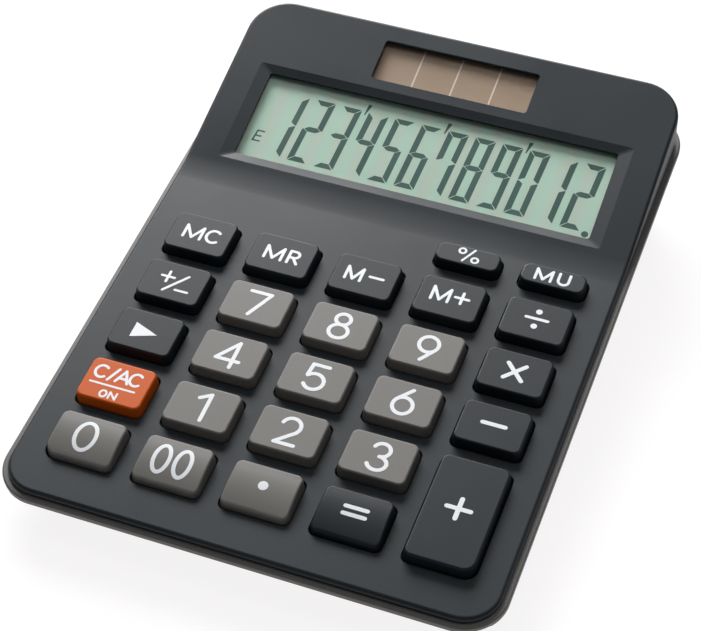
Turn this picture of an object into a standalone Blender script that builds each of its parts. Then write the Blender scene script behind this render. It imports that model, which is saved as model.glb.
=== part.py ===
"""Compact solar desk calculator: a wedge-shaped case in two shells, 26 sprung keys, a liquid
crystal display, a solar cell and a button cell.

Units are metres and +Z is up.  +Y points from the user to the back of the calculator, and the
origin lies on the table, under the middle of the case.  Nearly everything is placed in two tilted
frames: the deck, which is the plane of the keypad face, and the display frame, which starts at
the bend and leans back further.  In both, X is across, Y runs up the slope and Z stands out of
the face, so depths below the face are negative heights.
"""
import math

import bmesh
import bpy
from mathutils import Matrix, Vector

# Overall size and the slopes of the two faces
CASE_WIDTH = 0.1065
CASE_LENGTH = 0.147
CASE_HEIGHT = 0.029
DECK_TILT = math.radians(4.0)
DISPLAY_TILT = math.radians(10.3)
BEND_FROM_BACK = 0.052
BEND_BLEND = 0.003
FRONT_CORNER_RADIUS = 0.0091
BACK_CORNER_RADIUS = 0.0106
CORNER_STEPS = 5
BEND_STEPS = 4

# Clearances
SEAT_GAP = 0.0003
LENS_GAP = 0.0002
SCREW_CLEARANCE = 0.0002
POST_CLEARANCE = 0.0004

# Upper case
UPPER_INSET = 0.00125
UPPER_EDGE_RADIUS = 0.0009
UPPER_WALL = 0.0018
PLATE_THICKNESS = 0.0016
TONGUE_THICKNESS = 0.001
TONGUE_DEPTH = 0.0016
EDGE_STEPS = 3

# Lower case
RIM_DROP = 0.00135
RIM_EDGE_RADIUS = 0.0005
RIM_HEIGHT = 0.0013
LOWER_WALL = 0.0018
FLOOR_THICKNESS = 0.0018
BASE_INSET = 0.0095
BASE_CORNER_RADIUS = 0.003
HULL_PROFILE = ((0.42, 0.5), (0.8, 0.88), (1.0, 1.0))
FOOT_STAND = 0.001

# Keys
KEYPAD_SIDE_MARGIN = 0.00802
KEYPAD_FRONT_MARGIN = 0.0106
KEYPAD_BACK_MARGIN = 0.0051
KEY_SPACING_ACROSS = 0.00499
KEY_SPACING_ALONG = 0.00417
SHORT_KEY_SPACING = 0.0048
SHORT_KEY_DEPTH = 0.0053
KEY_COLUMNS = 5
KEY_ROWS = 5
KEY_CORNER = 0.0013
KEY_RISE = 0.0024
KEY_FLARE = 0.00025
KEY_EDGE = 0.0004
KEY_CLEARANCE = 0.0003
KEY_SINK = 0.0029
KEY_FLANGE_REACH = 0.001
KEY_FLANGE_THICKNESS = 0.0008
KEY_WALL = 0.0014
KEY_HOLLOW = 0.0032
KEY_POST_RADIUS = 0.0018
SHORT_KEY_POST_RADIUS = 0.0012
KEY_TRAVEL = 0.0013
KEY_STEPS = 2
FRONT_ROW_DROP = 0.001
FRONT_ROW_STOPS = 3

# Rubber dome sheet and circuit board
SHEET_THICKNESS = 0.0005
DOME_BASE_RADIUS = 0.0036
DOME_TOP_RADIUS = 0.0022
DOME_SKIN = 0.0005
DOME_SIDES = 8
BOARD_THICKNESS = 0.001
BOARD_CLEARANCE = 0.0007
BOARD_CORNER = 0.002
BOARD_BEHIND_BEND = 0.0245
SHEET_BEFORE_BEND = 0.003

# Display
RECESS_START = 0.0048
RECESS_END = 0.0326
RECESS_SIDE_MARGIN = 0.00838
RECESS_DEPTH = 0.0005
RECESS_SIDE_SLOPE = 0.003
RECESS_END_SLOPE = 0.0021
OPENING_CORNER = 0.0007
LENS_LIP = 0.0006
LENS_THICKNESS = 0.0005
LENS_OVERLAP = 0.0015
PANEL_THICKNESS = 0.002
PANEL_OVERLAP = 0.0026

# Solar cell
SOLAR_START = 0.0353
SOLAR_END = 0.0465
SOLAR_HALF_WIDTH = 0.01865
SOLAR_CORNER = 0.0006
SOLAR_LIP = 0.0009
SOLAR_WINDOW_THICKNESS = 0.0005
SOLAR_WINDOW_OVERLAP = 0.0012
SOLAR_CELL_THICKNESS = 0.0011
LEAD_RADIUS = 0.00045
LEAD_STEPS = 14

# Screws
SCREW_HEAD_RADIUS = 0.0019
SCREW_HEAD_HEIGHT = 0.0012
SCREW_SHANK_RADIUS = 0.0009
SCREW_SHANK_LENGTH = 0.0055
SCREW_SEAT_HEIGHT = 0.002
SCREW_POINT = 0.0008
SCREW_SLOT_WIDTH = 0.0006
SCREW_SLOT_REACH = 0.0012
SCREW_SLOT_DEPTH = 0.0007
SCREW_SIDES = 12
POST_RADIUS = 0.0018
BACK_POST_RADIUS = 0.0026
BOSS_RADIUS = 0.0036
BOSS_HEIGHT = 0.0032
BACK_SCREW_FROM_SIDE = 0.01525
BACK_SCREW_FROM_BACK = 0.0135
BOARD_SCREW_HEAD_RADIUS = 0.0016
BOARD_SCREW_HEAD_HEIGHT = 0.0008
BOARD_SCREW_SHANK_RADIUS = 0.0008
BOARD_SCREW_SHANK_LENGTH = 0.0036

# Button cell and its contacts
CELL_RADIUS = 0.0058
CELL_THICKNESS = 0.0031
CELL_FROM_SIDE = 0.02325
CELL_BEHIND_BEND = 0.0155
CELL_BELOW_BOARD = 0.003
CELL_CAN_EDGE = 0.0003
CELL_CAP_RADIUS = 0.0044
CELL_CAP_HEIGHT = 0.0003
POCKET_WALL = 0.0012
POCKET_DEPTH = 0.0018
CONTACT_THICKNESS = 0.0003
CONTACT_WIDTH = 0.004
CONTACT_FOOT = 0.004

# Parts on the board
CHIP_RADIUS = 0.0055
CHIP_HEIGHT = 0.0014
CHIP_X = 0.0
CHIP_BEHIND_BEND = 0.016
CAPACITOR_RADIUS = 0.0018
CAPACITOR_LENGTH = 0.005
CAPACITOR_FROM_SIDE = 0.02325
CAPACITOR_BEHIND_BEND = 0.0205
FLEX_THICKNESS = 0.00015
FLEX_FROM_OPENING = 0.007
FLEX_TAIL = 0.003

# Feet
FOOT_RADIUS = 0.004
FOOT_POCKET = 0.0006
FOOT_FROM_SIDE = 0.01725
FOOT_FROM_END = 0.021
FOOT_EDGE = 0.0003
FOOT_SIDES = 20

HALF_LENGTH = CASE_LENGTH / 2
HALF_WIDTH = CASE_WIDTH / 2
BEND = HALF_LENGTH - BEND_FROM_BACK
KEYPAD_WIDTH = CASE_WIDTH - 2 * KEYPAD_SIDE_MARGIN
KEYPAD_LENGTH = (CASE_LENGTH - BEND_FROM_BACK - KEYPAD_FRONT_MARGIN - KEYPAD_BACK_MARGIN
                 - SHORT_KEY_DEPTH - SHORT_KEY_SPACING)
COLUMN_PITCH = (KEYPAD_WIDTH + KEY_SPACING_ACROSS) / KEY_COLUMNS
ROW_PITCH = (KEYPAD_LENGTH + KEY_SPACING_ALONG) / KEY_ROWS
KEY_WIDTH = COLUMN_PITCH - KEY_SPACING_ACROSS
KEY_DEPTH = ROW_PITCH - KEY_SPACING_ALONG
FIRST_ROW = KEYPAD_FRONT_MARGIN + KEYPAD_LENGTH - KEY_DEPTH / 2 - HALF_LENGTH
SHORT_ROW_STEP = (KEY_DEPTH + SHORT_KEY_DEPTH) / 2 + SHORT_KEY_SPACING
RECESS_HALF_WIDTH = HALF_WIDTH - RECESS_SIDE_MARGIN
SHEET_TOP = -KEY_SINK - KEY_TRAVEL - 0.0005
BOARD_TOP = SHEET_TOP - SHEET_THICKNESS - SEAT_GAP
BOARD_BOTTOM = BOARD_TOP - BOARD_THICKNESS
DOME_TOP = -KEY_SINK - SEAT_GAP
CELL_X = CELL_FROM_SIDE - HALF_WIDTH
CAPACITOR_X = HALF_WIDTH - CAPACITOR_FROM_SIDE
FOOT_X = HALF_WIDTH - FOOT_FROM_SIDE
BACK_SCREW_X = HALF_WIDTH - BACK_SCREW_FROM_SIDE
BOARD_BACK = BEND + BOARD_BEHIND_BEND
RIM_BOTTOM = -RIM_DROP - RIM_HEIGHT
RIM_MIDDLE = -RIM_DROP - RIM_HEIGHT / 2

# name, column, row, shape; column 0 is the middle one, and row 0 is the memory row
KEYS = (
    ("key_percent", 1, -1, "short"),
    ("key_mark_up", 2, -1, "short"),
    ("key_memory_clear", -2, 0, "plain"),
    ("key_memory_recall", -1, 0, "plain"),
    ("key_memory_minus", 0, 0, "plain"),
    ("key_memory_plus", 1, 0, "plain"),
    ("key_divide", 2, 0, "plain"),
    ("key_sign", -2, 1, "plain"),
    ("key_7", -1, 1, "number"),
    ("key_8", 0, 1, "number"),
    ("key_9", 1, 1, "number"),
    ("key_multiply", 2, 1, "plain"),
    ("key_backspace", -2, 2, "plain"),
    ("key_4", -1, 2, "number"),
    ("key_5", 0, 2, "number"),
    ("key_6", 1, 2, "number"),
    ("key_minus", 2, 2, "plain"),
    ("key_clear", -2, 3, "clear"),
    ("key_1", -1, 3, "number"),
    ("key_2", 0, 3, "number"),
    ("key_3", 1, 3, "number"),
    ("key_plus", 2, 3, "tall"),
    ("key_0", -2, 4, "front_number"),
    ("key_00", -1, 4, "front_number"),
    ("key_point", 0, 4, "front_number"),
    ("key_equals", 1, 4, "front_plain"),
)


# Shapes

def outline(half_width, front, back, front_radius, back_radius, stops=(), steps=CORNER_STEPS):
    """Rounded rectangle, counterclockwise from the front right corner, as (x, y) pairs.
    Stops add a point on each long side at those y values."""
    def arc(centre_x, centre_y, radius, start):
        angles = [math.radians(start + 90 * step / steps) for step in range(steps + 1)]
        return [(centre_x + radius * math.cos(a), centre_y + radius * math.sin(a)) for a in angles]

    front_x = half_width - front_radius
    back_x = half_width - back_radius
    points = arc(front_x, front + front_radius, front_radius, -90)
    points += [(half_width, stop) for stop in stops]
    points += arc(back_x, back - back_radius, back_radius, 0)
    points += arc(-back_x, back - back_radius, back_radius, 90)
    points += [(-half_width, stop) for stop in reversed(stops)]
    points += arc(-front_x, front + front_radius, front_radius, 180)
    return points


def at_height(points, height):
    """Ring of 3-D points, whose height is a number or a function of y."""
    if callable(height):
        return [Vector((x, y, height(y))) for x, y in points]
    return [Vector((x, y, height)) for x, y in points]


def rectangle(half_x, half_y, radius, height, steps=KEY_STEPS, centre=(0, 0)):
    """Ring of a rounded rectangle about a centre."""
    points = outline(half_x, -half_y, half_y, radius, radius, (), steps)
    return at_height([(x + centre[0], y + centre[1]) for x, y in points], height)


def circle(radius, height, sides, centre=(0, 0)):
    """Ring of a regular polygon about a centre."""
    angles = [2 * math.pi * side / sides for side in range(sides)]
    points = [(centre[0] + radius * math.cos(a), centre[1] + radius * math.sin(a)) for a in angles]
    return at_height(points, height)


def split_cap(ring, stop_count, steps):
    """Index lists that close a ring from outline() with one flat face between each pair of stops."""
    if stop_count == 0:
        return [list(range(len(ring)))]
    right = [steps + 1 + stop for stop in range(stop_count)]
    left = [right[-1] + 2 * (steps + 1) + 1 + stop for stop in range(stop_count)]
    left.reverse()
    faces = [list(range(left[0], len(ring))) + list(range(0, right[0] + 1))]
    for stop in range(stop_count - 1):
        faces.append([right[stop], right[stop + 1], left[stop + 1], left[stop]])
    faces.append(list(range(right[-1], left[-1] + 1)))
    return faces


def loft(rings, start_stops=0, end_stops=0, steps=CORNER_STEPS):
    """Mesh data of one closed solid through rings of equal length.  Every ring runs
    counterclockwise seen from above; the first is closed facing down and the last facing up."""
    size = len(rings[0])
    vertices = [point for ring in rings for point in ring]
    faces = [list(reversed(face)) for face in split_cap(rings[0], start_stops, steps)]
    for level in range(len(rings) - 1):
        low = level * size
        high = low + size
        for side in range(size):
            following = (side + 1) % size
            faces.append([low + side, low + following, high + following, high + side])
    last = (len(rings) - 1) * size
    faces += [[last + index for index in face] for face in split_cap(rings[-1], end_stops, steps)]
    return vertices, faces


def merged(solids):
    """Mesh data of several separate solids together."""
    vertices = []
    faces = []
    for solid_vertices, solid_faces in solids:
        offset = len(vertices)
        vertices += solid_vertices
        faces += [[index + offset for index in face] for face in solid_faces]
    return vertices, faces


def cylinder(radius, low, high, sides=SCREW_SIDES, centre=(0, 0)):
    """Mesh data of an upright cylinder."""
    return loft([circle(radius, low, sides, centre), circle(radius, high, sides, centre)])


def block(half_x, half_y, low, high, centre=(0, 0), radius=0.0005):
    """Mesh data of an upright block with rounded corners."""
    rings = [rectangle(half_x, half_y, radius, height, 2, centre) for height in (low, high)]
    return loft(rings)


def strip(path, thickness, half_width, centre_x=0.0):
    """Mesh data of a bent sheet-metal or film strip: a path of (y, z) points given a thickness and
    drawn out across X."""
    points = [Vector(point) for point in path]
    left = []
    right = []
    for index, point in enumerate(points):
        before = points[max(index - 1, 0)]
        after = points[min(index + 1, len(points) - 1)]
        along = (after - before).normalized()
        across = Vector((-along.y, along.x)) * (thickness / 2)
        left.append(point + across)
        right.append(point - across)
    section = right + list(reversed(left))
    size = len(section)
    vertices = [Vector((centre_x - half_width, p.x, p.y)) for p in section]
    vertices += [Vector((centre_x + half_width, p.x, p.y)) for p in section]
    faces = [[side, side + size, (side + 1) % size + size, (side + 1) % size] for side in range(size)]
    for index in range(len(points) - 1):
        opposite = size - 1 - index
        faces.append([index, index + 1, opposite - 1, opposite])
        faces.append([size + opposite, size + opposite - 1, size + index + 1, size + index])
    return vertices, faces


# Objects

def frame_empty(name, parent, location, tilt):
    """Empty that carries a tilted frame."""
    empty = bpy.data.objects.new(name, None)
    bpy.context.collection.objects.link(empty)
    empty.parent = parent
    empty.location = location
    empty.rotation_euler = (tilt, 0, 0)
    return empty


def material(name, colour, roughness, metallic=0.0):
    """Plain Principled material."""
    made = bpy.data.materials.new(name)
    made.use_nodes = True
    shader = made.node_tree.nodes["Principled BSDF"]
    shader.inputs["Base Color"].default_value = (*colour, 1.0)
    shader.inputs["Roughness"].default_value = roughness
    shader.inputs["Metallic"].default_value = metallic
    return made


def solid(name, data, parent, finish, location=(0, 0, 0), smooth_angle=None):
    """Mesh object from mesh data, placed in its parent's frame."""
    mesh = bpy.data.meshes.new(name)
    vertices, faces = data
    mesh.from_pydata(vertices, [], faces)
    shape = bmesh.new()
    shape.from_mesh(mesh)
    bmesh.ops.recalc_face_normals(shape, faces=shape.faces)
    shape.to_mesh(mesh)
    shape.free()
    if smooth_angle is not None:
        mesh.shade_smooth()
        mesh.set_sharp_from_angle(angle=math.radians(smooth_angle))
    made = bpy.data.objects.new(name, mesh)
    bpy.context.collection.objects.link(made)
    made.parent = parent
    made.location = location
    if finish is not None:
        mesh.materials.append(finish)
    return made


def boolean(target, data, operation, parent=None):
    """Cut mesh data out of a target, or join it on, with a hidden tool in the parent's frame."""
    name = f"{target.name}_{operation.lower()}_{len(target.modifiers)}"
    tool = solid(name, data, parent or target.parent, None)
    tool.hide_render = True
    tool.display_type = 'WIRE'
    step = target.modifiers.new(name, 'BOOLEAN')
    step.operation = operation
    step.object = tool
    step.solver = 'EXACT'


# Case

def face_height(y):
    """Height of the outer face over the deck plane: flat, then a soft bend, then the slope."""
    slope = math.tan(DISPLAY_TILT)
    if y <= BEND - BEND_BLEND:
        return 0.0
    if y >= BEND + BEND_BLEND:
        return slope * (y - BEND)
    return slope * (y - BEND + BEND_BLEND) ** 2 / (4 * BEND_BLEND)


def bend_stops():
    """Y values along the bend where the face changes slope."""
    return [BEND - BEND_BLEND + 2 * BEND_BLEND * step / BEND_STEPS for step in range(BEND_STEPS + 1)]


def case_ring(inset, height, stops=(), least_radius=0.0005):
    """Ring that follows the rim of the case at an inset."""
    points = outline(
        HALF_WIDTH - inset,
        inset - HALF_LENGTH,
        HALF_LENGTH - inset,
        max(FRONT_CORNER_RADIUS - inset, least_radius),
        max(BACK_CORNER_RADIUS - inset, least_radius),
        stops,
    )
    return at_height(points, height)


def deck_height():
    """Height of the deck frame's origin that puts the top of the back edge at CASE_HEIGHT."""
    back = HALF_LENGTH - UPPER_INSET - UPPER_EDGE_RADIUS
    rise = back * math.sin(DECK_TILT) + face_height(back) * math.cos(DECK_TILT)
    return CASE_HEIGHT - rise


def base_height(y):
    """Height of the flat underside, seen in the deck frame."""
    return (FOOT_STAND - deck_height() - y * math.sin(DECK_TILT)) / math.cos(DECK_TILT)


def floor_height(y):
    """Height of the inner floor, seen in the deck frame."""
    return base_height(y) + FLOOR_THICKNESS


def inner_wall_inset(y, height):
    """Distance from the rim in to the inner wall of the lower case at a height."""
    share = (height - FLOOR_THICKNESS - RIM_BOTTOM) / (base_height(y) - RIM_BOTTOM)
    reach_before, share_before = 0.0, 0.0
    for reach, depth in HULL_PROFILE:
        if share <= depth:
            part = (share - share_before) / (depth - share_before)
            return LOWER_WALL + BASE_INSET * (reach_before + (reach - reach_before) * part)
        reach_before, share_before = reach, depth
    return LOWER_WALL + BASE_INSET


def board_margin():
    """Distance from the rim in to the edge of the board, at its tightest place."""
    keypad_front = KEYPAD_FRONT_MARGIN - HALF_LENGTH
    return inner_wall_inset(keypad_front, BOARD_BOTTOM) + BOARD_CLEARANCE


def board_half_width():
    """Half width of the board and of the dome sheet."""
    return HALF_WIDTH - board_margin()


def board_front():
    """Y of the front edge of the board and of the dome sheet."""
    return board_margin() - HALF_LENGTH


def upper_shell():
    """Rings of the upper case, from the inner ceiling down the wall and up the outside."""
    stops = bend_stops()
    inner = UPPER_INSET + UPPER_WALL
    tongue = inner - TONGUE_THICKNESS
    seam = -RIM_DROP + SEAT_GAP
    tongue_end = -RIM_DROP - TONGUE_DEPTH
    rings = [
        case_ring(inner, lambda y: face_height(y) - PLATE_THICKNESS, stops),
        case_ring(inner, tongue_end, stops),
        case_ring(tongue, tongue_end, stops),
        case_ring(tongue, seam, stops),
        case_ring(UPPER_INSET, seam, stops),
    ]
    for step in range(EDGE_STEPS + 1):
        angle = math.pi / 2 * step / EDGE_STEPS
        inset = UPPER_INSET + UPPER_EDGE_RADIUS * (1 - math.cos(angle))
        drop = UPPER_EDGE_RADIUS * (1 - math.sin(angle))
        rings.append(case_ring(inset, lambda y, drop=drop: face_height(y) - drop, stops))
    return loft(rings, len(stops), len(stops))


def lower_shell():
    """Rings of the lower case, from the underside up the hull, over the rim and down inside."""
    rim_top = -RIM_DROP
    seat = UPPER_INSET + UPPER_WALL - TONGUE_THICKNESS - SEAT_GAP
    tongue_end = -RIM_DROP - TONGUE_DEPTH

    def hull(share, extra):
        return lambda y: RIM_BOTTOM + (base_height(y) - RIM_BOTTOM) * share + extra

    outside = [case_ring(BASE_INSET * reach, hull(depth, 0), (), BASE_CORNER_RADIUS)
               for reach, depth in reversed(HULL_PROFILE)]
    inside = [case_ring(BASE_INSET * reach + LOWER_WALL, hull(depth, FLOOR_THICKNESS), (), BASE_CORNER_RADIUS)
              for reach, depth in HULL_PROFILE]
    edge = RIM_EDGE_RADIUS
    half_edge = edge * (1 - math.sqrt(0.5))
    rim = [
        case_ring(0, RIM_BOTTOM),
        case_ring(0, rim_top - edge),
        case_ring(half_edge, rim_top - half_edge),
        case_ring(edge, rim_top),
        case_ring(seat, rim_top),
        case_ring(seat, tongue_end - SEAT_GAP),
    ]
    return loft(outside + rim + inside)


def display_box(frame_half_x, start, end, radius, heights):
    """Block in the display frame between two distances up the slope."""
    centre = (0, (start + end) / 2)
    return loft([rectangle(frame_half_x, (end - start) / 2, radius, height, 2, centre) for height in heights])


def recess_cut():
    """Four-sided slope around the display, and the opening in its middle."""
    steep = 2
    centre = (0, (RECESS_START + RECESS_END) / 2)
    half_y = (RECESS_END - RECESS_START) / 2
    opening_x = RECESS_HALF_WIDTH - RECESS_SIDE_SLOPE
    opening_y = half_y - RECESS_END_SLOPE
    above = (RECESS_HALF_WIDTH + RECESS_SIDE_SLOPE, half_y + RECESS_END_SLOPE, RECESS_DEPTH)
    rings = [
        rectangle(opening_x, opening_y, OPENING_CORNER, -2 * PLATE_THICKNESS, steep, centre),
        rectangle(opening_x, opening_y, OPENING_CORNER, -RECESS_DEPTH, steep, centre),
        rectangle(above[0], above[1], OPENING_CORNER, above[2], steep, centre),
    ]
    return loft(rings)


def opening():
    """Half width, start and end of the display opening."""
    half_width = RECESS_HALF_WIDTH - RECESS_SIDE_SLOPE
    return half_width, RECESS_START + RECESS_END_SLOPE, RECESS_END - RECESS_END_SLOPE


def lens_rebate():
    """Seat of the display window, cut from inside."""
    half_x, start, end = opening()
    grow = LENS_OVERLAP + SEAT_GAP
    heights = (-2 * PLATE_THICKNESS, -RECESS_DEPTH - LENS_LIP)
    return display_box(half_x + grow, start - grow, end + grow, OPENING_CORNER, heights)


def solar_cuts():
    """Opening over the solar cell and the seat of its window."""
    grow = SOLAR_WINDOW_OVERLAP + SEAT_GAP
    through = (-2 * PLATE_THICKNESS, PLATE_THICKNESS)
    seat = (-2 * PLATE_THICKNESS, -SOLAR_LIP)
    return (
        display_box(SOLAR_HALF_WIDTH, SOLAR_START, SOLAR_END, SOLAR_CORNER, through),
        display_box(SOLAR_HALF_WIDTH + grow, SOLAR_START - grow, SOLAR_END + grow, SOLAR_CORNER, seat),
    )


# Screw places

def case_screws():
    """(name, x, y, post radius) of each case screw: two in the gaps between the key columns at the
    front, two further up, and two behind the display."""
    gap = 1.5 * COLUMN_PITCH
    front = FIRST_ROW - 3.5 * ROW_PITCH
    middle = FIRST_ROW + ROW_PITCH / 2
    back = HALF_LENGTH - BACK_SCREW_FROM_BACK
    places = []
    for side, sign in (("left", -1), ("right", 1)):
        places.append((f"case_screw_front_{side}", sign * gap, front, POST_RADIUS))
        places.append((f"case_screw_middle_{side}", sign * gap, middle, POST_RADIUS))
        places.append((f"case_screw_back_{side}", sign * BACK_SCREW_X, back, BACK_POST_RADIUS))
    return places


def board_screws():
    """(name, x, y) of each screw that holds the board up to the upper case."""
    gap = 0.5 * COLUMN_PITCH
    rows = (("front", FIRST_ROW - 3 * ROW_PITCH), ("back", FIRST_ROW - ROW_PITCH / 2))
    sides = (("left", -gap), ("right", gap))
    return [(f"board_screw_{row}_{side}", x, y) for row, y in rows for side, x in sides]


def screw_seat(y):
    """Height of the underside of a case screw's head."""
    return base_height(y) + SCREW_SEAT_HEIGHT


def upper_posts():
    """Screw posts that hang from the ceiling of the upper case."""
    posts = []
    for _, x, y, radius in case_screws():
        ceiling = face_height(y) - PLATE_THICKNESS / 2
        foot = base_height(y) + BOSS_HEIGHT + SEAT_GAP
        posts.append(cylinder(radius, foot, ceiling, centre=(x, y)))
    for _, x, y in board_screws():
        posts.append(cylinder(POST_RADIUS, BOARD_TOP + SEAT_GAP, -PLATE_THICKNESS / 2, centre=(x, y)))
    return merged(posts)


def upper_bores():
    """Screw holes in the posts."""
    bores = []
    for _, x, y, _ in case_screws():
        top = screw_seat(y) + SCREW_SHANK_LENGTH + SEAT_GAP
        bores.append(cylinder(SCREW_SHANK_RADIUS + SCREW_CLEARANCE, base_height(y), top, centre=(x, y)))
    for _, x, y in board_screws():
        top = BOARD_BOTTOM - SEAT_GAP + BOARD_SCREW_SHANK_LENGTH + SEAT_GAP
        bores.append(cylinder(BOARD_SCREW_SHANK_RADIUS + SCREW_CLEARANCE, BOARD_BOTTOM, top, centre=(x, y)))
    return merged(bores)


def lower_bosses():
    """Raised seats on the floor of the lower case: screw bosses and the button cell's pocket."""
    bosses = []
    for _, x, y, _ in case_screws():
        low = base_height(y) + FLOOR_THICKNESS / 2
        bosses.append(cylinder(BOSS_RADIUS, low, base_height(y) + BOSS_HEIGHT, centre=(x, y)))
    centre = (CELL_X, BEND + CELL_BEHIND_BEND)
    outer = CELL_RADIUS + SEAT_GAP + POCKET_WALL
    low = base_height(centre[1]) + FLOOR_THICKNESS / 2
    bosses.append(cylinder(outer, low, cell_bottom() - SEAT_GAP + POCKET_DEPTH, FOOT_SIDES, centre))
    return merged(bosses)


def lower_cuts():
    """Screw holes with their counterbores, and the inside of the button cell's pocket."""
    cuts = []
    for _, x, y, _ in case_screws():
        shank = SCREW_SHANK_RADIUS + SCREW_CLEARANCE
        head = SCREW_HEAD_RADIUS + SCREW_CLEARANCE
        seat = screw_seat(y)
        below = base_height(y) - FOOT_STAND
        rings = [
            circle(head, below, SCREW_SIDES, (x, y)),
            circle(head, seat, SCREW_SIDES, (x, y)),
            circle(shank, seat, SCREW_SIDES, (x, y)),
            circle(shank, seat + BOSS_HEIGHT, SCREW_SIDES, (x, y)),
        ]
        cuts.append(loft(rings))
    centre = (CELL_X, BEND + CELL_BEHIND_BEND)
    cuts.append(cylinder(CELL_RADIUS + SEAT_GAP, cell_bottom() - SEAT_GAP, BOARD_BOTTOM, FOOT_SIDES, centre))
    return merged(cuts)


# Keys

def key_row_y(row):
    """Y of a row's middle, in the deck frame."""
    if row < 0:
        return FIRST_ROW + SHORT_ROW_STEP
    return FIRST_ROW - row * ROW_PITCH


def key_size(shape):
    """Depth of a key's top, and how far its middle lies in front of its row."""
    if shape == "short":
        return SHORT_KEY_DEPTH, 0.0
    if shape == "tall":
        return KEY_DEPTH + ROW_PITCH, ROW_PITCH / 2
    return KEY_DEPTH, 0.0


def key_place(column, row, shape):
    """Middle of a key on the deck plane."""
    return (column * COLUMN_PITCH, key_row_y(row) - key_size(shape)[1])


def key_solid(shape):
    """A hollow cap with a flange along its front and back and a post that meets the dome."""
    depth, _ = key_size(shape)
    half_x = KEY_WIDTH / 2
    half_y = depth / 2
    foot_x = half_x + KEY_FLARE
    foot_y = half_y + KEY_FLARE
    post = SHORT_KEY_POST_RADIUS if shape == "short" else KEY_POST_RADIUS
    front_row = shape.startswith("front")
    stop_count = FRONT_ROW_STOPS if front_row else 0
    spread = [half_y * (0.4 - 0.4 * stop) for stop in range(stop_count)]
    stops = tuple(reversed(spread))

    def ring(x, y, radius, height):
        return at_height(outline(x, -y, y, radius, radius, stops, KEY_STEPS), height)

    def post_ring(height):
        points = []
        for x, y in outline(foot_x, -foot_y, foot_y, KEY_CORNER, KEY_CORNER, stops, KEY_STEPS):
            angle = math.atan2(y / foot_y, x / foot_x)
            points.append((post * math.cos(angle), post * math.sin(angle)))
        return at_height(points, height)

    def top(drop):
        if not front_row:
            return KEY_RISE - drop
        start = 0.4 * half_y
        return lambda y: KEY_RISE - drop - FRONT_ROW_DROP * (max(start - y, 0) / (start + half_y)) ** 2

    inner_x = foot_x - KEY_WALL
    inner_y = foot_y - KEY_WALL
    ceiling = KEY_HOLLOW - KEY_SINK
    flange_top = KEY_FLANGE_THICKNESS - KEY_SINK
    chamfer = KEY_EDGE * 0.3
    rings = [
        post_ring(-KEY_SINK),
        post_ring(ceiling),
        ring(inner_x, inner_y, KEY_CORNER / 2, ceiling),
        ring(inner_x, inner_y, KEY_CORNER / 2, -KEY_SINK),
        ring(foot_x, foot_y + KEY_FLANGE_REACH, KEY_CORNER, -KEY_SINK),
        ring(foot_x, foot_y + KEY_FLANGE_REACH, KEY_CORNER, flange_top),
        ring(foot_x, foot_y, KEY_CORNER, flange_top),
        ring(foot_x, foot_y, KEY_CORNER, 0),
        ring(half_x, half_y, KEY_CORNER, top(KEY_EDGE)),
        ring(half_x - chamfer, half_y - chamfer, KEY_CORNER, top(chamfer)),
        ring(half_x - KEY_EDGE, half_y - KEY_EDGE, KEY_CORNER, top(0)),
    ]
    return loft(rings, 0, stop_count, KEY_STEPS)


def key_holes():
    """Holes for all the keys in the face."""
    holes = []
    grow = KEY_FLARE + KEY_CLEARANCE
    for _, column, row, shape in KEYS:
        depth, _ = key_size(shape)
        half_x = KEY_WIDTH / 2 + grow
        half_y = depth / 2 + grow
        corner = KEY_CORNER + KEY_CLEARANCE
        place = key_place(column, row, shape)
        heights = (-2 * PLATE_THICKNESS, PLATE_THICKNESS)
        rings = [rectangle(half_x, half_y, corner, height, KEY_STEPS, place) for height in heights]
        holes.append(loft(rings))
    return merged(holes)


# Inside

def dome(centre, grow, low, high):
    """Solid of one dome, a cone with its top cut off."""
    return loft([circle(DOME_BASE_RADIUS - grow, low, DOME_SIDES, centre),
                 circle(DOME_TOP_RADIUS - grow, high, DOME_SIDES, centre)])


def post_holes(names_and_places, low, high):
    """Clearance holes for the posts that pass through a sheet."""
    radius = POST_RADIUS + POST_CLEARANCE
    return merged([cylinder(radius, low, high, centre=place) for place in names_and_places])


def keypad_posts():
    """Places of all posts that pass the dome sheet."""
    middle = [(x, y) for _, x, y, _ in case_screws() if y < BEND - SHEET_BEFORE_BEND]
    return middle, [(x, y) for _, x, y in board_screws()]


def add_dome_sheet(deck, finish):
    """Rubber sheet with a hollow dome under every key."""
    end = BEND - SHEET_BEFORE_BEND
    centre = (0, (board_front() + end) / 2)
    half_y = (end - board_front()) / 2
    flat = block(board_half_width(), half_y, SHEET_TOP - SHEET_THICKNESS, SHEET_TOP, centre, BOARD_CORNER)
    sheet = solid("dome_sheet", flat, deck, finish)
    places = [key_place(column, row, shape) for _, column, row, shape in KEYS]
    skirt = SHEET_TOP - SHEET_THICKNESS / 2
    boolean(sheet, merged([dome(place, 0, skirt, DOME_TOP) for place in places]), 'UNION')
    under = SHEET_TOP - 2 * SHEET_THICKNESS
    hollows = merged([dome(place, DOME_SKIN, under, DOME_TOP - DOME_SKIN) for place in places])
    boolean(sheet, hollows, 'DIFFERENCE')
    case_posts, board_posts = keypad_posts()
    boolean(sheet, post_holes(case_posts + board_posts, under, 0), 'DIFFERENCE')


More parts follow.
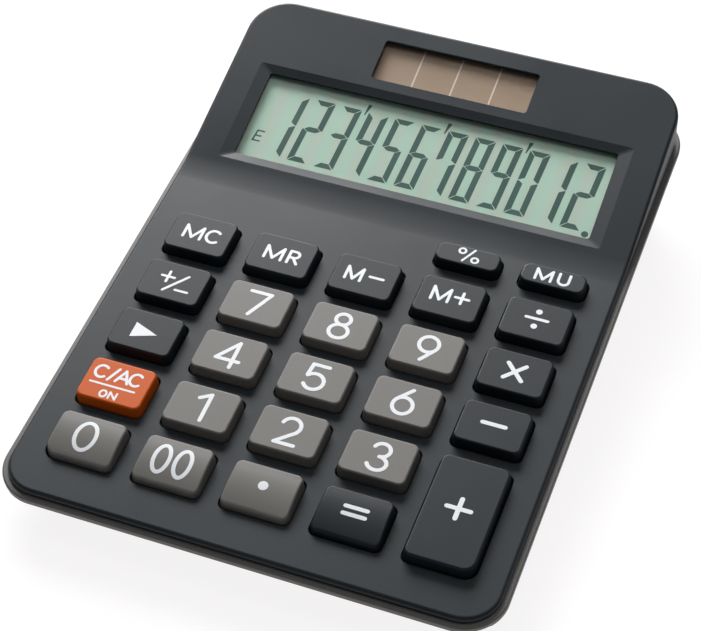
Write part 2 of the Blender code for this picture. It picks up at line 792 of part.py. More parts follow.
def add_board(deck, finish):
    """Circuit board, with holes for the case posts and for its own screws."""
    centre = (0, (board_front() + BOARD_BACK) / 2)
    half_y = (BOARD_BACK - board_front()) / 2
    flat = block(board_half_width(), half_y, BOARD_BOTTOM, BOARD_TOP, centre, BOARD_CORNER)
    board = solid("circuit_board", flat, deck, finish)
    case_posts, board_posts = keypad_posts()
    low = BOARD_BOTTOM - BOARD_THICKNESS
    boolean(board, post_holes(case_posts, low, 0), 'DIFFERENCE')
    radius = BOARD_SCREW_SHANK_RADIUS + SCREW_CLEARANCE
    boolean(board, merged([cylinder(radius, low, 0, centre=place) for place in board_posts]), 'DIFFERENCE')


def screw_solid(head_radius, head_height, shank_radius, shank_length):
    """Self-tapping screw, head down: its seat is at height 0 and the point is at the top."""
    rings = [
        circle(head_radius * 0.8, -head_height, SCREW_SIDES),
        circle(head_radius, -head_height * 0.6, SCREW_SIDES),
        circle(head_radius, 0, SCREW_SIDES),
        circle(shank_radius, 0, SCREW_SIDES),
        circle(shank_radius, shank_length - SCREW_POINT, SCREW_SIDES),
        circle(shank_radius * 0.3, shank_length, SCREW_SIDES),
    ]
    return loft(rings)


def cross_recess(head_height):
    """Cross-shaped driver recess in a screw head."""
    arm = (SCREW_SLOT_REACH, SCREW_SLOT_WIDTH / 2)
    heights = (-2 * head_height, SCREW_SLOT_DEPTH - head_height)
    half = SCREW_SLOT_WIDTH / 2
    reach = arm[0]
    plus = [(half, -reach), (half, -half), (reach, -half), (reach, half), (half, half), (half, reach),
            (-half, reach), (-half, half), (-reach, half), (-reach, -half), (-half, -half), (-half, -reach)]
    return loft([at_height(plus, height) for height in heights])


def add_screws(deck, finish):
    """Case screws from below and board screws from below the board."""
    for name, x, y, _ in case_screws():
        frame = frame_empty(f"{name}_place", deck, (x, y, screw_seat(y) - SEAT_GAP), 0)
        shape = screw_solid(SCREW_HEAD_RADIUS, SCREW_HEAD_HEIGHT, SCREW_SHANK_RADIUS, SCREW_SHANK_LENGTH)
        screw = solid(name, shape, frame, finish, smooth_angle=40)
        boolean(screw, cross_recess(SCREW_HEAD_HEIGHT), 'DIFFERENCE')
    for name, x, y in board_screws():
        frame = frame_empty(f"{name}_place", deck, (x, y, BOARD_BOTTOM - SEAT_GAP), 0)
        shape = screw_solid(BOARD_SCREW_HEAD_RADIUS, BOARD_SCREW_HEAD_HEIGHT,
                            BOARD_SCREW_SHANK_RADIUS, BOARD_SCREW_SHANK_LENGTH)
        screw = solid(name, shape, frame, finish, smooth_angle=40)
        boolean(screw, cross_recess(BOARD_SCREW_HEAD_HEIGHT), 'DIFFERENCE')


def cell_bottom():
    """Height of the button cell's can bottom in the deck frame."""
    return BOARD_BOTTOM - CELL_BELOW_BOARD - CELL_THICKNESS


def add_button_cell(deck, finish):
    """Button cell, plus side down, with its smaller cap facing the board."""
    bottom = cell_bottom()
    shoulder = bottom + CELL_THICKNESS - CELL_CAP_HEIGHT
    rings = [
        circle(CELL_RADIUS - CELL_CAN_EDGE, bottom, FOOT_SIDES),
        circle(CELL_RADIUS, bottom + CELL_CAN_EDGE, FOOT_SIDES),
        circle(CELL_RADIUS, shoulder - CELL_CAN_EDGE, FOOT_SIDES),
        circle(CELL_RADIUS - CELL_CAN_EDGE, shoulder, FOOT_SIDES),
        circle(CELL_CAP_RADIUS, shoulder, FOOT_SIDES),
        circle(CELL_CAP_RADIUS, shoulder + CELL_CAP_HEIGHT, FOOT_SIDES),
    ]
    solid("button_cell", loft(rings), deck, finish, (CELL_X, BEND + CELL_BEHIND_BEND, 0), 40)


def add_contacts(deck, finish):
    """Two spring leaves on the underside of the board: one on the cell's cap, one at its side."""
    cell_y = BEND + CELL_BEHIND_BEND
    foot_z = BOARD_BOTTOM - SEAT_GAP - CONTACT_THICKNESS / 2
    cap_z = cell_bottom() + CELL_THICKNESS + SEAT_GAP + CONTACT_THICKNESS / 2
    start = cell_y - CELL_RADIUS - CONTACT_FOOT
    rise = [(start, foot_z), (start + CONTACT_FOOT, foot_z)]
    leaf = rise + [(cell_y - CELL_CAP_RADIUS / 2, cap_z), (cell_y, cap_z)]
    solid("battery_contact_negative", strip(leaf, CONTACT_THICKNESS, CONTACT_WIDTH / 2, CELL_X), deck, finish)
    side_y = cell_y + CELL_RADIUS + SEAT_GAP + CONTACT_THICKNESS
    pocket_top = cell_bottom() - SEAT_GAP + POCKET_DEPTH
    end_z = pocket_top + SEAT_GAP
    side = [(side_y + CONTACT_FOOT, foot_z), (side_y + CONTACT_THICKNESS, foot_z), (side_y, end_z)]
    solid("battery_contact_positive", strip(side, CONTACT_THICKNESS, CONTACT_WIDTH / 2, CELL_X), deck, finish)


def add_board_parts(deck, finishes):
    """Resin drop over the bare chip, and a small capacitor lying on the board."""
    low = BOARD_TOP + LENS_GAP
    shape = [(1.0, 0.0), (0.97, 0.35), (0.8, 0.72), (0.5, 0.93), (0.2, 1.0)]
    rings = [circle(CHIP_RADIUS * reach, low + CHIP_HEIGHT * rise, FOOT_SIDES) for reach, rise in shape]
    solid("chip_cover", loft(rings), deck, finishes["resin"], (CHIP_X, BEND + CHIP_BEHIND_BEND, 0), 60)
    frame = frame_empty("capacitor_place", deck,
                        (CAPACITOR_X, BEND + CAPACITOR_BEHIND_BEND, low + CAPACITOR_RADIUS), math.pi / 2)
    solid("capacitor", cylinder(CAPACITOR_RADIUS, -CAPACITOR_LENGTH / 2, CAPACITOR_LENGTH / 2), frame,
          finishes["sleeve"], smooth_angle=40)


def add_display(display, finishes):
    """Clear window and the liquid crystal panel behind it."""
    half_x, start, end = opening()
    lens_top = -RECESS_DEPTH - LENS_LIP - LENS_GAP
    lens_bottom = lens_top - LENS_THICKNESS
    grow = LENS_OVERLAP
    solid("display_window", display_box(half_x + grow, start - grow, end + grow, OPENING_CORNER,
                                        (lens_bottom, lens_top)), display, finishes["clear"])
    panel_top = lens_bottom - LENS_GAP
    grow = PANEL_OVERLAP
    solid("lcd_panel", display_box(half_x + grow, start - grow, end + grow, OPENING_CORNER,
                                   (panel_top - PANEL_THICKNESS, panel_top)), display, finishes["lcd"])


def panel_bottom():
    """Height of the liquid crystal panel's back, in the display frame."""
    return -RECESS_DEPTH - LENS_LIP - 2 * LENS_GAP - LENS_THICKNESS - PANEL_THICKNESS


def display_to_deck(slope, height):
    """(y, z) in the deck frame of a point in the display frame."""
    cosine = math.cos(DISPLAY_TILT)
    sine = math.sin(DISPLAY_TILT)
    return (BEND + slope * cosine - height * sine, slope * sine + height * cosine)


def add_flex(deck, finish):
    """Heat-sealed film that joins the panel's lower edge to the board."""
    half_x, start, _ = opening()
    edge = start - PANEL_OVERLAP
    under = panel_bottom() - SEAT_GAP
    board_z = BOARD_TOP + LENS_GAP
    seal = display_to_deck(edge + FLEX_TAIL, under)
    bend = display_to_deck(edge, under)
    path = [seal, bend, (bend[0] - FLEX_TAIL / 2, (bend[1] + board_z) / 2), (bend[0], board_z),
            (bend[0] + FLEX_TAIL, board_z)]
    solid("display_film_connector", strip(path, FLEX_THICKNESS, half_x - FLEX_FROM_OPENING), deck, finish)


def add_solar(display, finishes):
    """Clear window and the solar cell behind it."""
    window_top = -SOLAR_LIP - LENS_GAP
    window_bottom = window_top - SOLAR_WINDOW_THICKNESS
    half_x = SOLAR_HALF_WIDTH + SOLAR_WINDOW_OVERLAP
    start = SOLAR_START - SOLAR_WINDOW_OVERLAP
    end = SOLAR_END + SOLAR_WINDOW_OVERLAP
    window = display_box(half_x, start, end, SOLAR_CORNER, (window_bottom, window_top))
    solid("solar_window", window, display, finishes["clear"])
    cell_top = window_bottom - LENS_GAP
    cell = display_box(half_x, start, end, SOLAR_CORNER, (cell_top - SOLAR_CELL_THICKNESS, cell_top))
    solid("solar_cell", cell, display, finishes["cell"])


def add_leads(deck, finishes):
    """Two insulated leads from the back of the solar cell to the board."""
    under = -SOLAR_LIP - 2 * LENS_GAP - SOLAR_WINDOW_THICKNESS - SOLAR_CELL_THICKNESS - SEAT_GAP - LEAD_RADIUS
    start_y, start_z = display_to_deck((SOLAR_START + SOLAR_END) / 2, under)
    end_y = BOARD_BACK - LEAD_RADIUS * 4
    end_z = BOARD_TOP + SEAT_GAP + LEAD_RADIUS
    for name, sign in (("solar_lead_negative", -1), ("solar_lead_positive", 1)):
        x = sign * SOLAR_HALF_WIDTH * 0.8
        start = Vector((x, start_y, start_z))
        leave = Vector((x * 1.1, start_y + 0.001, start_z - 0.008))
        reach = Vector((x * 0.8, end_y + 0.009, end_z + 0.0005))
        end = Vector((x * 0.7, end_y, end_z))
        curve = bpy.data.curves.new(name, 'CURVE')
        curve.dimensions = '3D'
        curve.bevel_depth = LEAD_RADIUS
        curve.bevel_resolution = 1
        curve.use_fill_caps = True
        spline = curve.splines.new('POLY')
        spline.points.add(LEAD_STEPS)
        for step in range(LEAD_STEPS + 1):
            t = step / LEAD_STEPS
            point = (start * (1 - t) ** 3 + leave * (3 * t * (1 - t) ** 2)
                     + reach * (3 * t ** 2 * (1 - t)) + end * t ** 3)
            spline.points[step].co = (*point, 1)
        lead = bpy.data.objects.new(name, curve)
        bpy.context.collection.objects.link(lead)
        lead.parent = deck
        curve.materials.append(finishes[name])


def foot_places():
    """(name, x, y) of the feet, on the table."""
    reach = HALF_LENGTH - FOOT_FROM_END
    return [(f"foot_{end}_{side}", x, y) for end, y in (("front", -reach), ("back", reach))
            for side, x in (("left", -FOOT_X), ("right", FOOT_X))]


def add_feet(lower_case, finish):
    """Rubber pads pressed into shallow pockets in the underside."""
    pockets = []
    for name, x, y in foot_places():
        top = FOOT_STAND + FOOT_POCKET - SEAT_GAP
        rings = [
            circle(FOOT_RADIUS - FOOT_EDGE, 0, FOOT_SIDES),
            circle(FOOT_RADIUS, FOOT_EDGE, FOOT_SIDES),
            circle(FOOT_RADIUS, top, FOOT_SIDES),
        ]
        solid(name, loft(rings), None, finish, (x, y, 0), 40)
        pocket = cylinder(FOOT_RADIUS + SEAT_GAP, -FOOT_STAND, FOOT_STAND + FOOT_POCKET, FOOT_SIDES, (x, y))
        pockets.append(pocket)
    ground = frame_empty("ground", None, (0, 0, 0), 0)
    boolean(lower_case, merged(pockets), 'DIFFERENCE', ground)


def add_keys(deck, finishes):
    """All the keys, each with its origin on its own line of travel."""
    for name, column, row, shape in KEYS:
        x, y = key_place(column, row, shape)
        if shape in ("number", "front_number"):
            finish = finishes["key_grey"]
        elif shape == "clear":
            finish = finishes["key_orange"]
        else:
            finish = finishes["key_dark"]
        solid(name, key_solid(shape), deck, finish, (x, y, 0))


def clear_scene():
    """Start from an empty scene."""
    for existing in list(bpy.data.objects):
        bpy.data.objects.remove(existing, do_unlink=True)


def make_finishes():
    """Every material of the calculator."""
    return {
        "upper": material("upper_case_plastic", (0.052, 0.06, 0.066), 0.5),
        "lower": material("lower_case_plastic", (0.13, 0.12, 0.11), 0.5),
        "key_dark": material("dark_key_plastic", (0.055, 0.062, 0.07), 0.45),
        "key_grey": material("grey_key_plastic", (0.26, 0.24, 0.225), 0.45),
        "key_orange": material("orange_key_plastic", (0.72, 0.14, 0.03), 0.4),
        "clear": material("clear_plastic", (0.9, 0.93, 0.93), 0.05),
        "lcd": material("display_glass", (0.36, 0.5, 0.42), 0.2),
        "cell": material("solar_glass", (0.2, 0.13, 0.09), 0.2),
        "rubber": material("silicone_rubber", (0.6, 0.6, 0.58), 0.7),
        "board": material("board_laminate", (0.3, 0.2, 0.08), 0.5),
        "resin": material("black_resin", (0.02, 0.02, 0.02), 0.35),
        "sleeve": material("capacitor_sleeve", (0.02, 0.05, 0.15), 0.4),
        "film": material("connector_film", (0.5, 0.4, 0.25), 0.4),
        "steel": material("screw_steel", (0.5, 0.5, 0.52), 0.35, 1.0),
        "nickel": material("cell_nickel", (0.65, 0.64, 0.6), 0.3, 1.0),
        "foot": material("foot_rubber", (0.04, 0.04, 0.04), 0.8),
        "solar_lead_negative": material("black_lead", (0.02, 0.02, 0.02), 0.5),
        "solar_lead_positive": material("red_lead", (0.5, 0.03, 0.02), 0.5),
    }


def build():
    """Put the calculator together."""
    clear_scene()
    finishes = make_finishes()
    shift = RIM_MIDDLE * math.sin(DECK_TILT)
    deck = frame_empty("deck", None, (0, shift, deck_height()), DECK_TILT)
    display = frame_empty("display", deck, (0, BEND, 0), DISPLAY_TILT)

    upper_case = solid("upper_case", upper_shell(), deck, finishes["upper"], smooth_angle=30)
    boolean(upper_case, upper_posts(), 'UNION')
    boolean(upper_case, upper_bores(), 'DIFFERENCE')
    boolean(upper_case, key_holes(), 'DIFFERENCE')
    boolean(upper_case, recess_cut(), 'DIFFERENCE', display)
    boolean(upper_case, lens_rebate(), 'DIFFERENCE', display)
    for cut in solar_cuts():
        boolean(upper_case, cut, 'DIFFERENCE', display)

    lower_case = solid("lower_case", lower_shell(), deck, finishes["lower"], smooth_angle=30)
    boolean(lower_case, lower_bosses(), 'UNION')
    boolean(lower_case, lower_cuts(), 'DIFFERENCE')
    add_feet(lower_case, finishes["foot"])

    add_keys(deck, finishes)
    add_dome_sheet(deck, finishes["rubber"])
    add_board(deck, finishes["board"])
    add_board_parts(deck, finishes)
    add_display(display, finishes)
    add_flex(deck, finishes["film"])
    add_solar(display, finishes)
    add_leads(deck, finishes)
    add_button_cell(deck, finishes["nickel"])
    add_contacts(deck, finishes["nickel"])
    add_screws(deck, finishes["steel"])


build()
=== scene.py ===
import math

import bpy
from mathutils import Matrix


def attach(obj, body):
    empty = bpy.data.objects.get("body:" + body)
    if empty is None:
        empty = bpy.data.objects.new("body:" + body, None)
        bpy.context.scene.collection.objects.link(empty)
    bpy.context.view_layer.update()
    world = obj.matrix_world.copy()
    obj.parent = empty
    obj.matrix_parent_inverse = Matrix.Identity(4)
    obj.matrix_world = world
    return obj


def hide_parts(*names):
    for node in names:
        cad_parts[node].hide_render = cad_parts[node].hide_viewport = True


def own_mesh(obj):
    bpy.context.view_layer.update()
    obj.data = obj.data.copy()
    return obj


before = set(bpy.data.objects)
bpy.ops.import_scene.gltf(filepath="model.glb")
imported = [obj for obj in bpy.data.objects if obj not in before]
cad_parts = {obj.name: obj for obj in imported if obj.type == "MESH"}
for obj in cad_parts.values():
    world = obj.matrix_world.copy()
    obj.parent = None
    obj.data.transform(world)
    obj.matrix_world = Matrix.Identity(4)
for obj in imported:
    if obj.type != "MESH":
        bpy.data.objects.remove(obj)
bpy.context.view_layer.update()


# Camera: a long lens above the table in front of the calculator and to its right, as the
# calculator was looked at.  The colours are shown without a film curve.
bpy.ops.object.camera_add(location=(0.106818, -0.28811, 0.31966))
camera = bpy.context.object
camera.rotation_euler = [math.radians(angle) for angle in (44.430309, 0.339153, 20.531507)]
camera.data.lens = 103.5437
camera.data.sensor_width = 36
camera.data.clip_start = 0.01
bpy.context.scene.camera = camera
bpy.context.scene.view_settings.view_transform = 'Standard'


# Studio: a pale table of back-lit acrylic under two soft boxes.  The brighter one hangs low behind the
# calculator on its left, so faces that lean back are bright and faces that look at the user are dark.
def soft_box(name, place, size, power):
    """Soft lamp aimed at the calculator."""
    bpy.ops.object.light_add(type='AREA', location=place)
    lamp = bpy.context.object
    lamp.name = name
    lamp.data.shape = 'RECTANGLE'
    lamp.data.size, lamp.data.size_y = size
    lamp.data.energy = power
    bpy.ops.object.empty_add(location=(0, 0, 0))
    track = lamp.constraints.new('TRACK_TO')
    track.target = bpy.context.object
    track.track_axis = 'TRACK_NEGATIVE_Z'
    track.up_axis = 'UP_Y'


soft_box("back_box", (-0.55, 0.95, 0.72), (0.9, 0.55), 25)
soft_box("top_box", (0.25, 0.3, 1.5), (0.8, 0.8), 4)

world = bpy.context.scene.world or bpy.data.worlds.new("world")
bpy.context.scene.world = world
world.use_nodes = True
world.node_tree.nodes["Background"].inputs["Color"].default_value = (0.93, 0.96, 1.0, 1)
world.node_tree.nodes["Background"].inputs["Strength"].default_value = 0.13

bpy.ops.mesh.primitive_plane_add(size=6, location=(0, 0, 0))
table = bpy.context.object
table.name = "table_top"


# Shared surface effects.  Moulded plastic has a fine spark-eroded grain and small changes in gloss
# where it was handled, and both come from one node group that every piece below uses.
def group(name, inputs, outputs):
    """Empty node group with its sockets."""
    tree = bpy.data.node_groups.new(name, 'ShaderNodeTree')
    for label, kind, value in inputs:
        socket = tree.interface.new_socket(label, in_out='INPUT', socket_type=kind)
        if value is not None:
            socket.default_value = value
    for label, kind in outputs:
        tree.interface.new_socket(label, in_out='OUTPUT', socket_type=kind)
    return tree, tree.nodes.new('NodeGroupInput'), tree.nodes.new('NodeGroupOutput')


tree, given, result = group(
    "moulded_grain",
    [("Vector", 'NodeSocketVector', None), ("Size", 'NodeSocketFloat', 0.0004),
     ("Spread", 'NodeSocketFloat', 0.06)],
    [("Height", 'NodeSocketFloat'), ("Gloss", 'NodeSocketFloat'), ("Tone", 'NodeSocketFloat')])
scale = tree.nodes.new('ShaderNodeMath')
scale.operation = 'DIVIDE'
scale.inputs[0].default_value = 1.0
grain = tree.nodes.new('ShaderNodeTexNoise')
grain.inputs["Detail"].default_value = 2.0
patches = tree.nodes.new('ShaderNodeTexNoise')
patches.inputs["Scale"].default_value = 45.0
patches.inputs["Detail"].default_value = 3.0
gloss = tree.nodes.new('ShaderNodeMapRange')
gloss.inputs["From Min"].default_value = 0.3
gloss.inputs["From Max"].default_value = 0.7
gloss.inputs["To Min"].default_value = -1.0
gloss.inputs["To Max"].default_value = 1.0
spread = tree.nodes.new('ShaderNodeMath')
spread.operation = 'MULTIPLY'
tone = tree.nodes.new('ShaderNodeMix')
tone.data_type = 'FLOAT'
tone.inputs["Factor"].default_value = 0.35
link = tree.links.new
link(given.outputs["Size"], scale.inputs[1])
link(scale.outputs[0], grain.inputs["Scale"])
link(given.outputs["Vector"], grain.inputs["Vector"])
link(given.outputs["Vector"], patches.inputs["Vector"])
link(grain.outputs["Fac"], result.inputs["Height"])
link(patches.outputs["Fac"], gloss.inputs["Value"])
link(gloss.outputs["Result"], spread.inputs[0])
link(given.outputs["Spread"], spread.inputs[1])
link(spread.outputs[0], result.inputs["Gloss"])
link(grain.outputs["Fac"], tone.inputs["A"])
link(patches.outputs["Fac"], tone.inputs["B"])
link(tone.outputs["Result"], result.inputs["Tone"])
grain_group = tree


def plastic(name, dark, light, roughness, size=0.00035, bump=0.12, spread=0.05, gleam=0.5):
    """Material of a moulded piece: two close colours mixed by the grain, a grainy normal, patchy gloss."""
    made = bpy.data.materials.new(name)
    made.use_nodes = True
    nodes, wire = made.node_tree.nodes, made.node_tree.links.new
    shader = nodes["Principled BSDF"]
    shader.inputs["Specular IOR Level"].default_value = gleam
    place = nodes.new('ShaderNodeTexCoord')
    grain = nodes.new('ShaderNodeGroup')
    grain.node_tree = grain_group
    grain.inputs["Size"].default_value = size
    grain.inputs["Spread"].default_value = spread
    colour = nodes.new('ShaderNodeMix')
    colour.data_type = 'RGBA'
    colour.inputs["A"].default_value = (*dark, 1)
    colour.inputs["B"].default_value = (*light, 1)
    rough = nodes.new('ShaderNodeMath')
    rough.inputs[1].default_value = roughness
    rough.use_clamp = True
    relief = nodes.new('ShaderNodeBump')
    relief.inputs["Strength"].default_value = bump
    relief.inputs["Distance"].default_value = 0.00005
    wire(place.outputs["Object"], grain.inputs["Vector"])
    wire(grain.outputs["Tone"], colour.inputs["Factor"])
    wire(colour.outputs["Result"], shader.inputs["Base Color"])
    wire(grain.outputs["Gloss"], rough.inputs[0])
    wire(rough.outputs[0], shader.inputs["Roughness"])
    wire(grain.outputs["Height"], relief.inputs["Height"])
    wire(relief.outputs["Normal"], shader.inputs["Normal"])
    return made


acrylic = plastic("table_acrylic", (0.15, 0.148, 0.149), (0.17, 0.168, 0.169), 0.8, 0.004, 0.02)
glow = acrylic.node_tree.nodes["Principled BSDF"].inputs
glow["Emission Color"].default_value = (1, 0.985, 0.99, 1)
glow["Emission Strength"].default_value = 0.87
table.data.materials.append(acrylic)


# Upper case: one charcoal ABS moulding, whose flat keypad face bends up into the display face.  Its
# side wall stands on the rim of the lower case.  It is drawn with the keypad face level at height 0,
# then tilted and lifted onto the feet, as are the pieces after it.
HALF_WIDE, HALF_LONG = 0.05325, 0.0735
FRONT_CORNER, BACK_CORNER = 0.0091, 0.0106
TILT = math.radians(4.0)
LIFT = (0, -0.0001395, 0.0149857)
RISE = math.radians(10.3)
BEND, BEND_SOFTNESS = 0.0215, 0.0035
UPPER_INSET, UPPER_FOOT = 0.00125, -0.00105
CAVITY_INSET, PLATE = 0.00305, 0.0016
NEAR = 1e-6


def only(*pieces):
    """Select these objects and nothing else; the first is active."""
    bpy.ops.object.select_all(action='DESELECT')
    for piece in pieces:
        piece.select_set(True)
    bpy.context.view_layer.objects.active = pieces[0]


def apply(piece):
    only(piece)
    bpy.ops.object.transform_apply(location=True, rotation=True, scale=True)


def edit(piece, kind, test):
    """Enter edit mode with only the vertices, edges or faces selected whose points all pass a test."""
    only(piece)
    bpy.ops.object.mode_set(mode='EDIT')
    bpy.ops.mesh.select_mode(type=kind)
    bpy.ops.mesh.select_all(action='DESELECT')
    bpy.ops.object.mode_set(mode='OBJECT')
    mesh = piece.data
    parts = {'VERT': mesh.vertices, 'EDGE': mesh.edges, 'FACE': mesh.polygons}[kind]
    for part in parts:
        points = [part.index] if kind == 'VERT' else part.vertices
        part.select = all(test(mesh.vertices[point].co) for point in points)
    bpy.ops.object.mode_set(mode='EDIT')


def done():
    bpy.ops.object.mode_set(mode='OBJECT')


def whole(piece):
    """Enter edit mode with everything selected."""
    only(piece)
    bpy.ops.object.mode_set(mode='EDIT')
    bpy.ops.mesh.select_all(action='SELECT')


def sharp(piece, degrees, test):
    """Enter edit mode with only the sharp edges selected that lie where a test says."""
    only(piece)
    bpy.ops.object.mode_set(mode='EDIT')
    bpy.ops.mesh.select_mode(type='EDGE')
    bpy.ops.mesh.select_all(action='DESELECT')
    bpy.ops.mesh.edges_select_sharp(sharpness=math.radians(degrees))
    done()
    for edge in piece.data.edges:
        edge.select = edge.select and all(test(piece.data.vertices[point].co) for point in edge.vertices)
    bpy.ops.object.mode_set(mode='EDIT')


def block(name, low, high, radii=(0, 0, 0, 0), segments=8):
    """Block between two corners.  Its upright edges are rounded by the radii of the front left,
    front right, back right and back left corners."""
    bpy.ops.mesh.primitive_cube_add(size=1, location=[(a + b) / 2 for a, b in zip(low, high)])
    piece = bpy.context.object
    piece.name = piece.data.name = name
    piece.scale = [b - a for a, b in zip(low, high)]
    apply(piece)
    corners = ((low[0], low[1]), (high[0], low[1]), (high[0], high[1]), (low[0], high[1]))
    for (x, y), radius in zip(corners, radii):
        if radius:
            edit(piece, 'EDGE', lambda p: abs(p.x - x) < NEAR and abs(p.y - y) < NEAR)
            bpy.ops.mesh.bevel(offset=radius, segments=segments, affect='EDGES')
            done()
    return piece


def combine(piece, tool, operation):
    """Boolean with a tool that is used up."""
    step = piece.modifiers.new(operation.lower(), 'BOOLEAN')
    step.operation = operation
    step.solver = 'EXACT'
    step.object = tool
    only(piece)
    bpy.ops.object.modifier_apply(modifier=step.name)
    bpy.data.objects.remove(tool)


def join(*pieces):
    """Make the other pieces part of the first one."""
    only(*pieces)
    bpy.ops.object.join()


def coat(piece, material):
    """Give a piece this material and no other."""
    piece.data.materials.clear()
    piece.data.materials.append(material)


def side_profile(drop, low):
    """Prism with the calculator's side outline: flat, softly bent, then sloping.  Its top lies a
    drop below the outer face."""
    side, end = 0.07, 0.09
    prism = block("profile", (-side, -end, low), (side, end, -drop))
    whole(prism)
    bpy.ops.mesh.bisect(plane_co=(0, BEND, 0), plane_no=(0, 1, 0))
    done()
    edit(prism, 'VERT', lambda p: p.z > -drop - NEAR and p.y > end - 0.01)
    bpy.ops.transform.translate(value=(0, 0, math.tan(RISE) * (end - BEND)))
    done()
    edit(prism, 'EDGE', lambda p: abs(p.y - BEND) < NEAR and abs(p.z + drop) < NEAR)
    bpy.ops.mesh.bevel(offset=BEND_SOFTNESS, segments=10, affect='EDGES')
    done()
    return prism


def plan_block(name, inset, low, high):
    """Block with the calculator's outline from above, drawn in by an inset."""
    x, y = HALF_WIDE - inset, HALF_LONG - inset
    front, back = FRONT_CORNER - inset, BACK_CORNER - inset
    return block(name, (-x, -y, low), (x, y, high), (front, front, back, back), 16)


def wedge(name, inset, drop, low):
    """Block under the calculator's outline, cut to its side profile."""
    piece = plan_block(name, inset, low, 0.02)
    combine(piece, side_profile(drop, low), 'INTERSECT')
    return piece


def smooth(piece, angle=32, crisp=None):
    """Shade round parts smooth and keep the flats flat up to their softened edges.  Edges whose points
    pass the crisp test stay sharp."""
    only(piece)
    bpy.ops.object.shade_smooth_by_angle(angle=math.radians(angle))
    for edge in piece.data.edges if crisp else []:
        if all(crisp(piece.data.vertices[point].co) for point in edge.vertices):
            edge.use_edge_sharp = True
    flats = piece.modifiers.new("flats", 'WEIGHTED_NORMAL')
    flats.keep_sharp = True
    flats.weight = 100
    bpy.ops.object.modifier_apply(modifier="flats")


def lean(piece):
    """Turn a finished piece about the bend, onto the display face."""
    piece.rotation_euler = (RISE, 0, 0)
    piece.location = (0, BEND, 0)
    apply(piece)


def settle(piece, body, node):
    """Stand a finished piece on the table, and tell the frame what it stands for."""
    piece.rotation_euler = (TILT, 0, 0)
    piece.location = LIFT
    apply(piece)
    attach(piece, body)
    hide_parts(node)


upper = wedge("upper_shell", UPPER_INSET, 0, UPPER_FOOT)
sharp(upper, 50, lambda p: p.z > UPPER_FOOT / 2)
bpy.ops.mesh.bevel(offset=0.0009, segments=5, affect='EDGES')
done()
combine(upper, wedge("cavity", CAVITY_INSET, PLATE, -0.01), 'DIFFERENCE')

# The key holes are cut together, with one tool per key.  Key sizes are those of the top; corner radii
# go round from the front left one.
KEY_WIDE, KEY_LONG = 0.0141, 0.0105
ACROSS, ALONG = 0.01909, 0.01467
ROW_ZERO = 0.00104
SHORT_ROW = ROW_ZERO + 0.0127
SHORT_LONG = 0.0053
TALL_LONG = KEY_LONG + ALONG
PLAIN_RADII, SHORT_RADII = (0.0013,) * 4, (0.0017,) * 4
TALL_RADII, CORNER_RADII = (0.0013, 0.0024, 0.0013, 0.0013), (0.0024, 0.0013, 0.0013, 0.0013)
CLEARANCE = 0.0003
FLARE = 0.0003


def key_place(column, row):
    """Middle of a key.  The short keys stand above the rows, and have none."""
    return column * ACROSS, SHORT_ROW if row is None else ROW_ZERO - row * ALONG


def flare(tool, depth, across, along):
    """Widen the mouth of a cutting tool from a little depth upwards."""
    whole(tool)
    bpy.ops.mesh.bisect(plane_co=(0, 0, -depth), plane_no=(0, 0, 1))
    done()
    edit(tool, 'VERT', lambda p: p.z > 0)
    bpy.ops.transform.resize(value=(across, along, 1))
    done()


def hole_tool(long, radii, place):
    """Rounded prism through the face, clear of the foot of its key, with a flared mouth."""
    x, y = KEY_WIDE / 2 + 0.00055, long / 2 + 0.00055
    tool = block("hole", (-x, -y, -0.004), (x, y, 0.0002), [r + CLEARANCE for r in radii], 6)
    flare(tool, 0.00012, 1 + FLARE / x, 1 + FLARE / y)
    tool.location = (*place, 0)
    apply(tool)
    return tool


plain_keys = [(column, row) for row in range(4) for column in range(-2, 3) if (column, row) != (2, 3)]
front_keys = [(column, 4) for column in range(-1, 2)]
tools = [hole_tool(KEY_LONG, PLAIN_RADII, key_place(*spot)) for spot in plain_keys + front_keys]
tools.append(hole_tool(KEY_LONG, CORNER_RADII, key_place(-2, 4)))
tools += [hole_tool(SHORT_LONG, SHORT_RADII, key_place(column, None)) for column in (1, 2)]
tools.append(hole_tool(TALL_LONG, TALL_RADII, key_place(2, 3.5)))
join(*tools)
combine(upper, tools[0], 'DIFFERENCE')

# The display recess is a shallow frame of four slopes with the window opening in its floor, and
# the solar opening above it has straight walls.  Under each opening is a seat for its window.
def cut_display_face(tool):
    """Turn a tool onto the display face and cut with it."""
    lean(tool)
    combine(upper, tool, 'DIFFERENCE')


recess = block("recess", (-0.04187, 0.0069, -0.004), (0.04187, 0.0305, 0.0005), (0.0007,) * 4, 5)
flare(recess, 0.0005, 0.04787 / 0.04187, 0.016 / 0.0118)
cut_display_face(recess)
cut_display_face(block("window_seat", (-0.04367, 0.0051, -0.004), (0.04367, 0.0323, -0.0011)))
opening = block("solar_opening", (-0.01865, 0.0353, -0.004), (0.01865, 0.0465, 0.0002), (0.0008,) * 4, 5)
flare(opening, 0.00015, 1.02, 1.06)
cut_display_face(opening)
cut_display_face(block("solar_seat", (-0.02015, 0.0338, -0.004), (0.02015, 0.048, -0.0009)))


def in_recess(p):
    """Whether a point lies on the slopes of the display recess."""
    along = (p.y - BEND) * math.cos(RISE) + p.z * math.sin(RISE)
    up = p.z * math.cos(RISE) - (p.y - BEND) * math.sin(RISE)
    return abs(p.x) < 0.0451 and 0.0046 < along < 0.0328 and -0.0006 < up < 0.0001


smooth(upper, crisp=in_recess)
charcoal = plastic("charcoal_abs", (0.0125, 0.018, 0.0225), (0.0195, 0.026, 0.0315), 0.44, gleam=0.25)
coat(upper, charcoal)
settle(upper, "case", "upper_case")


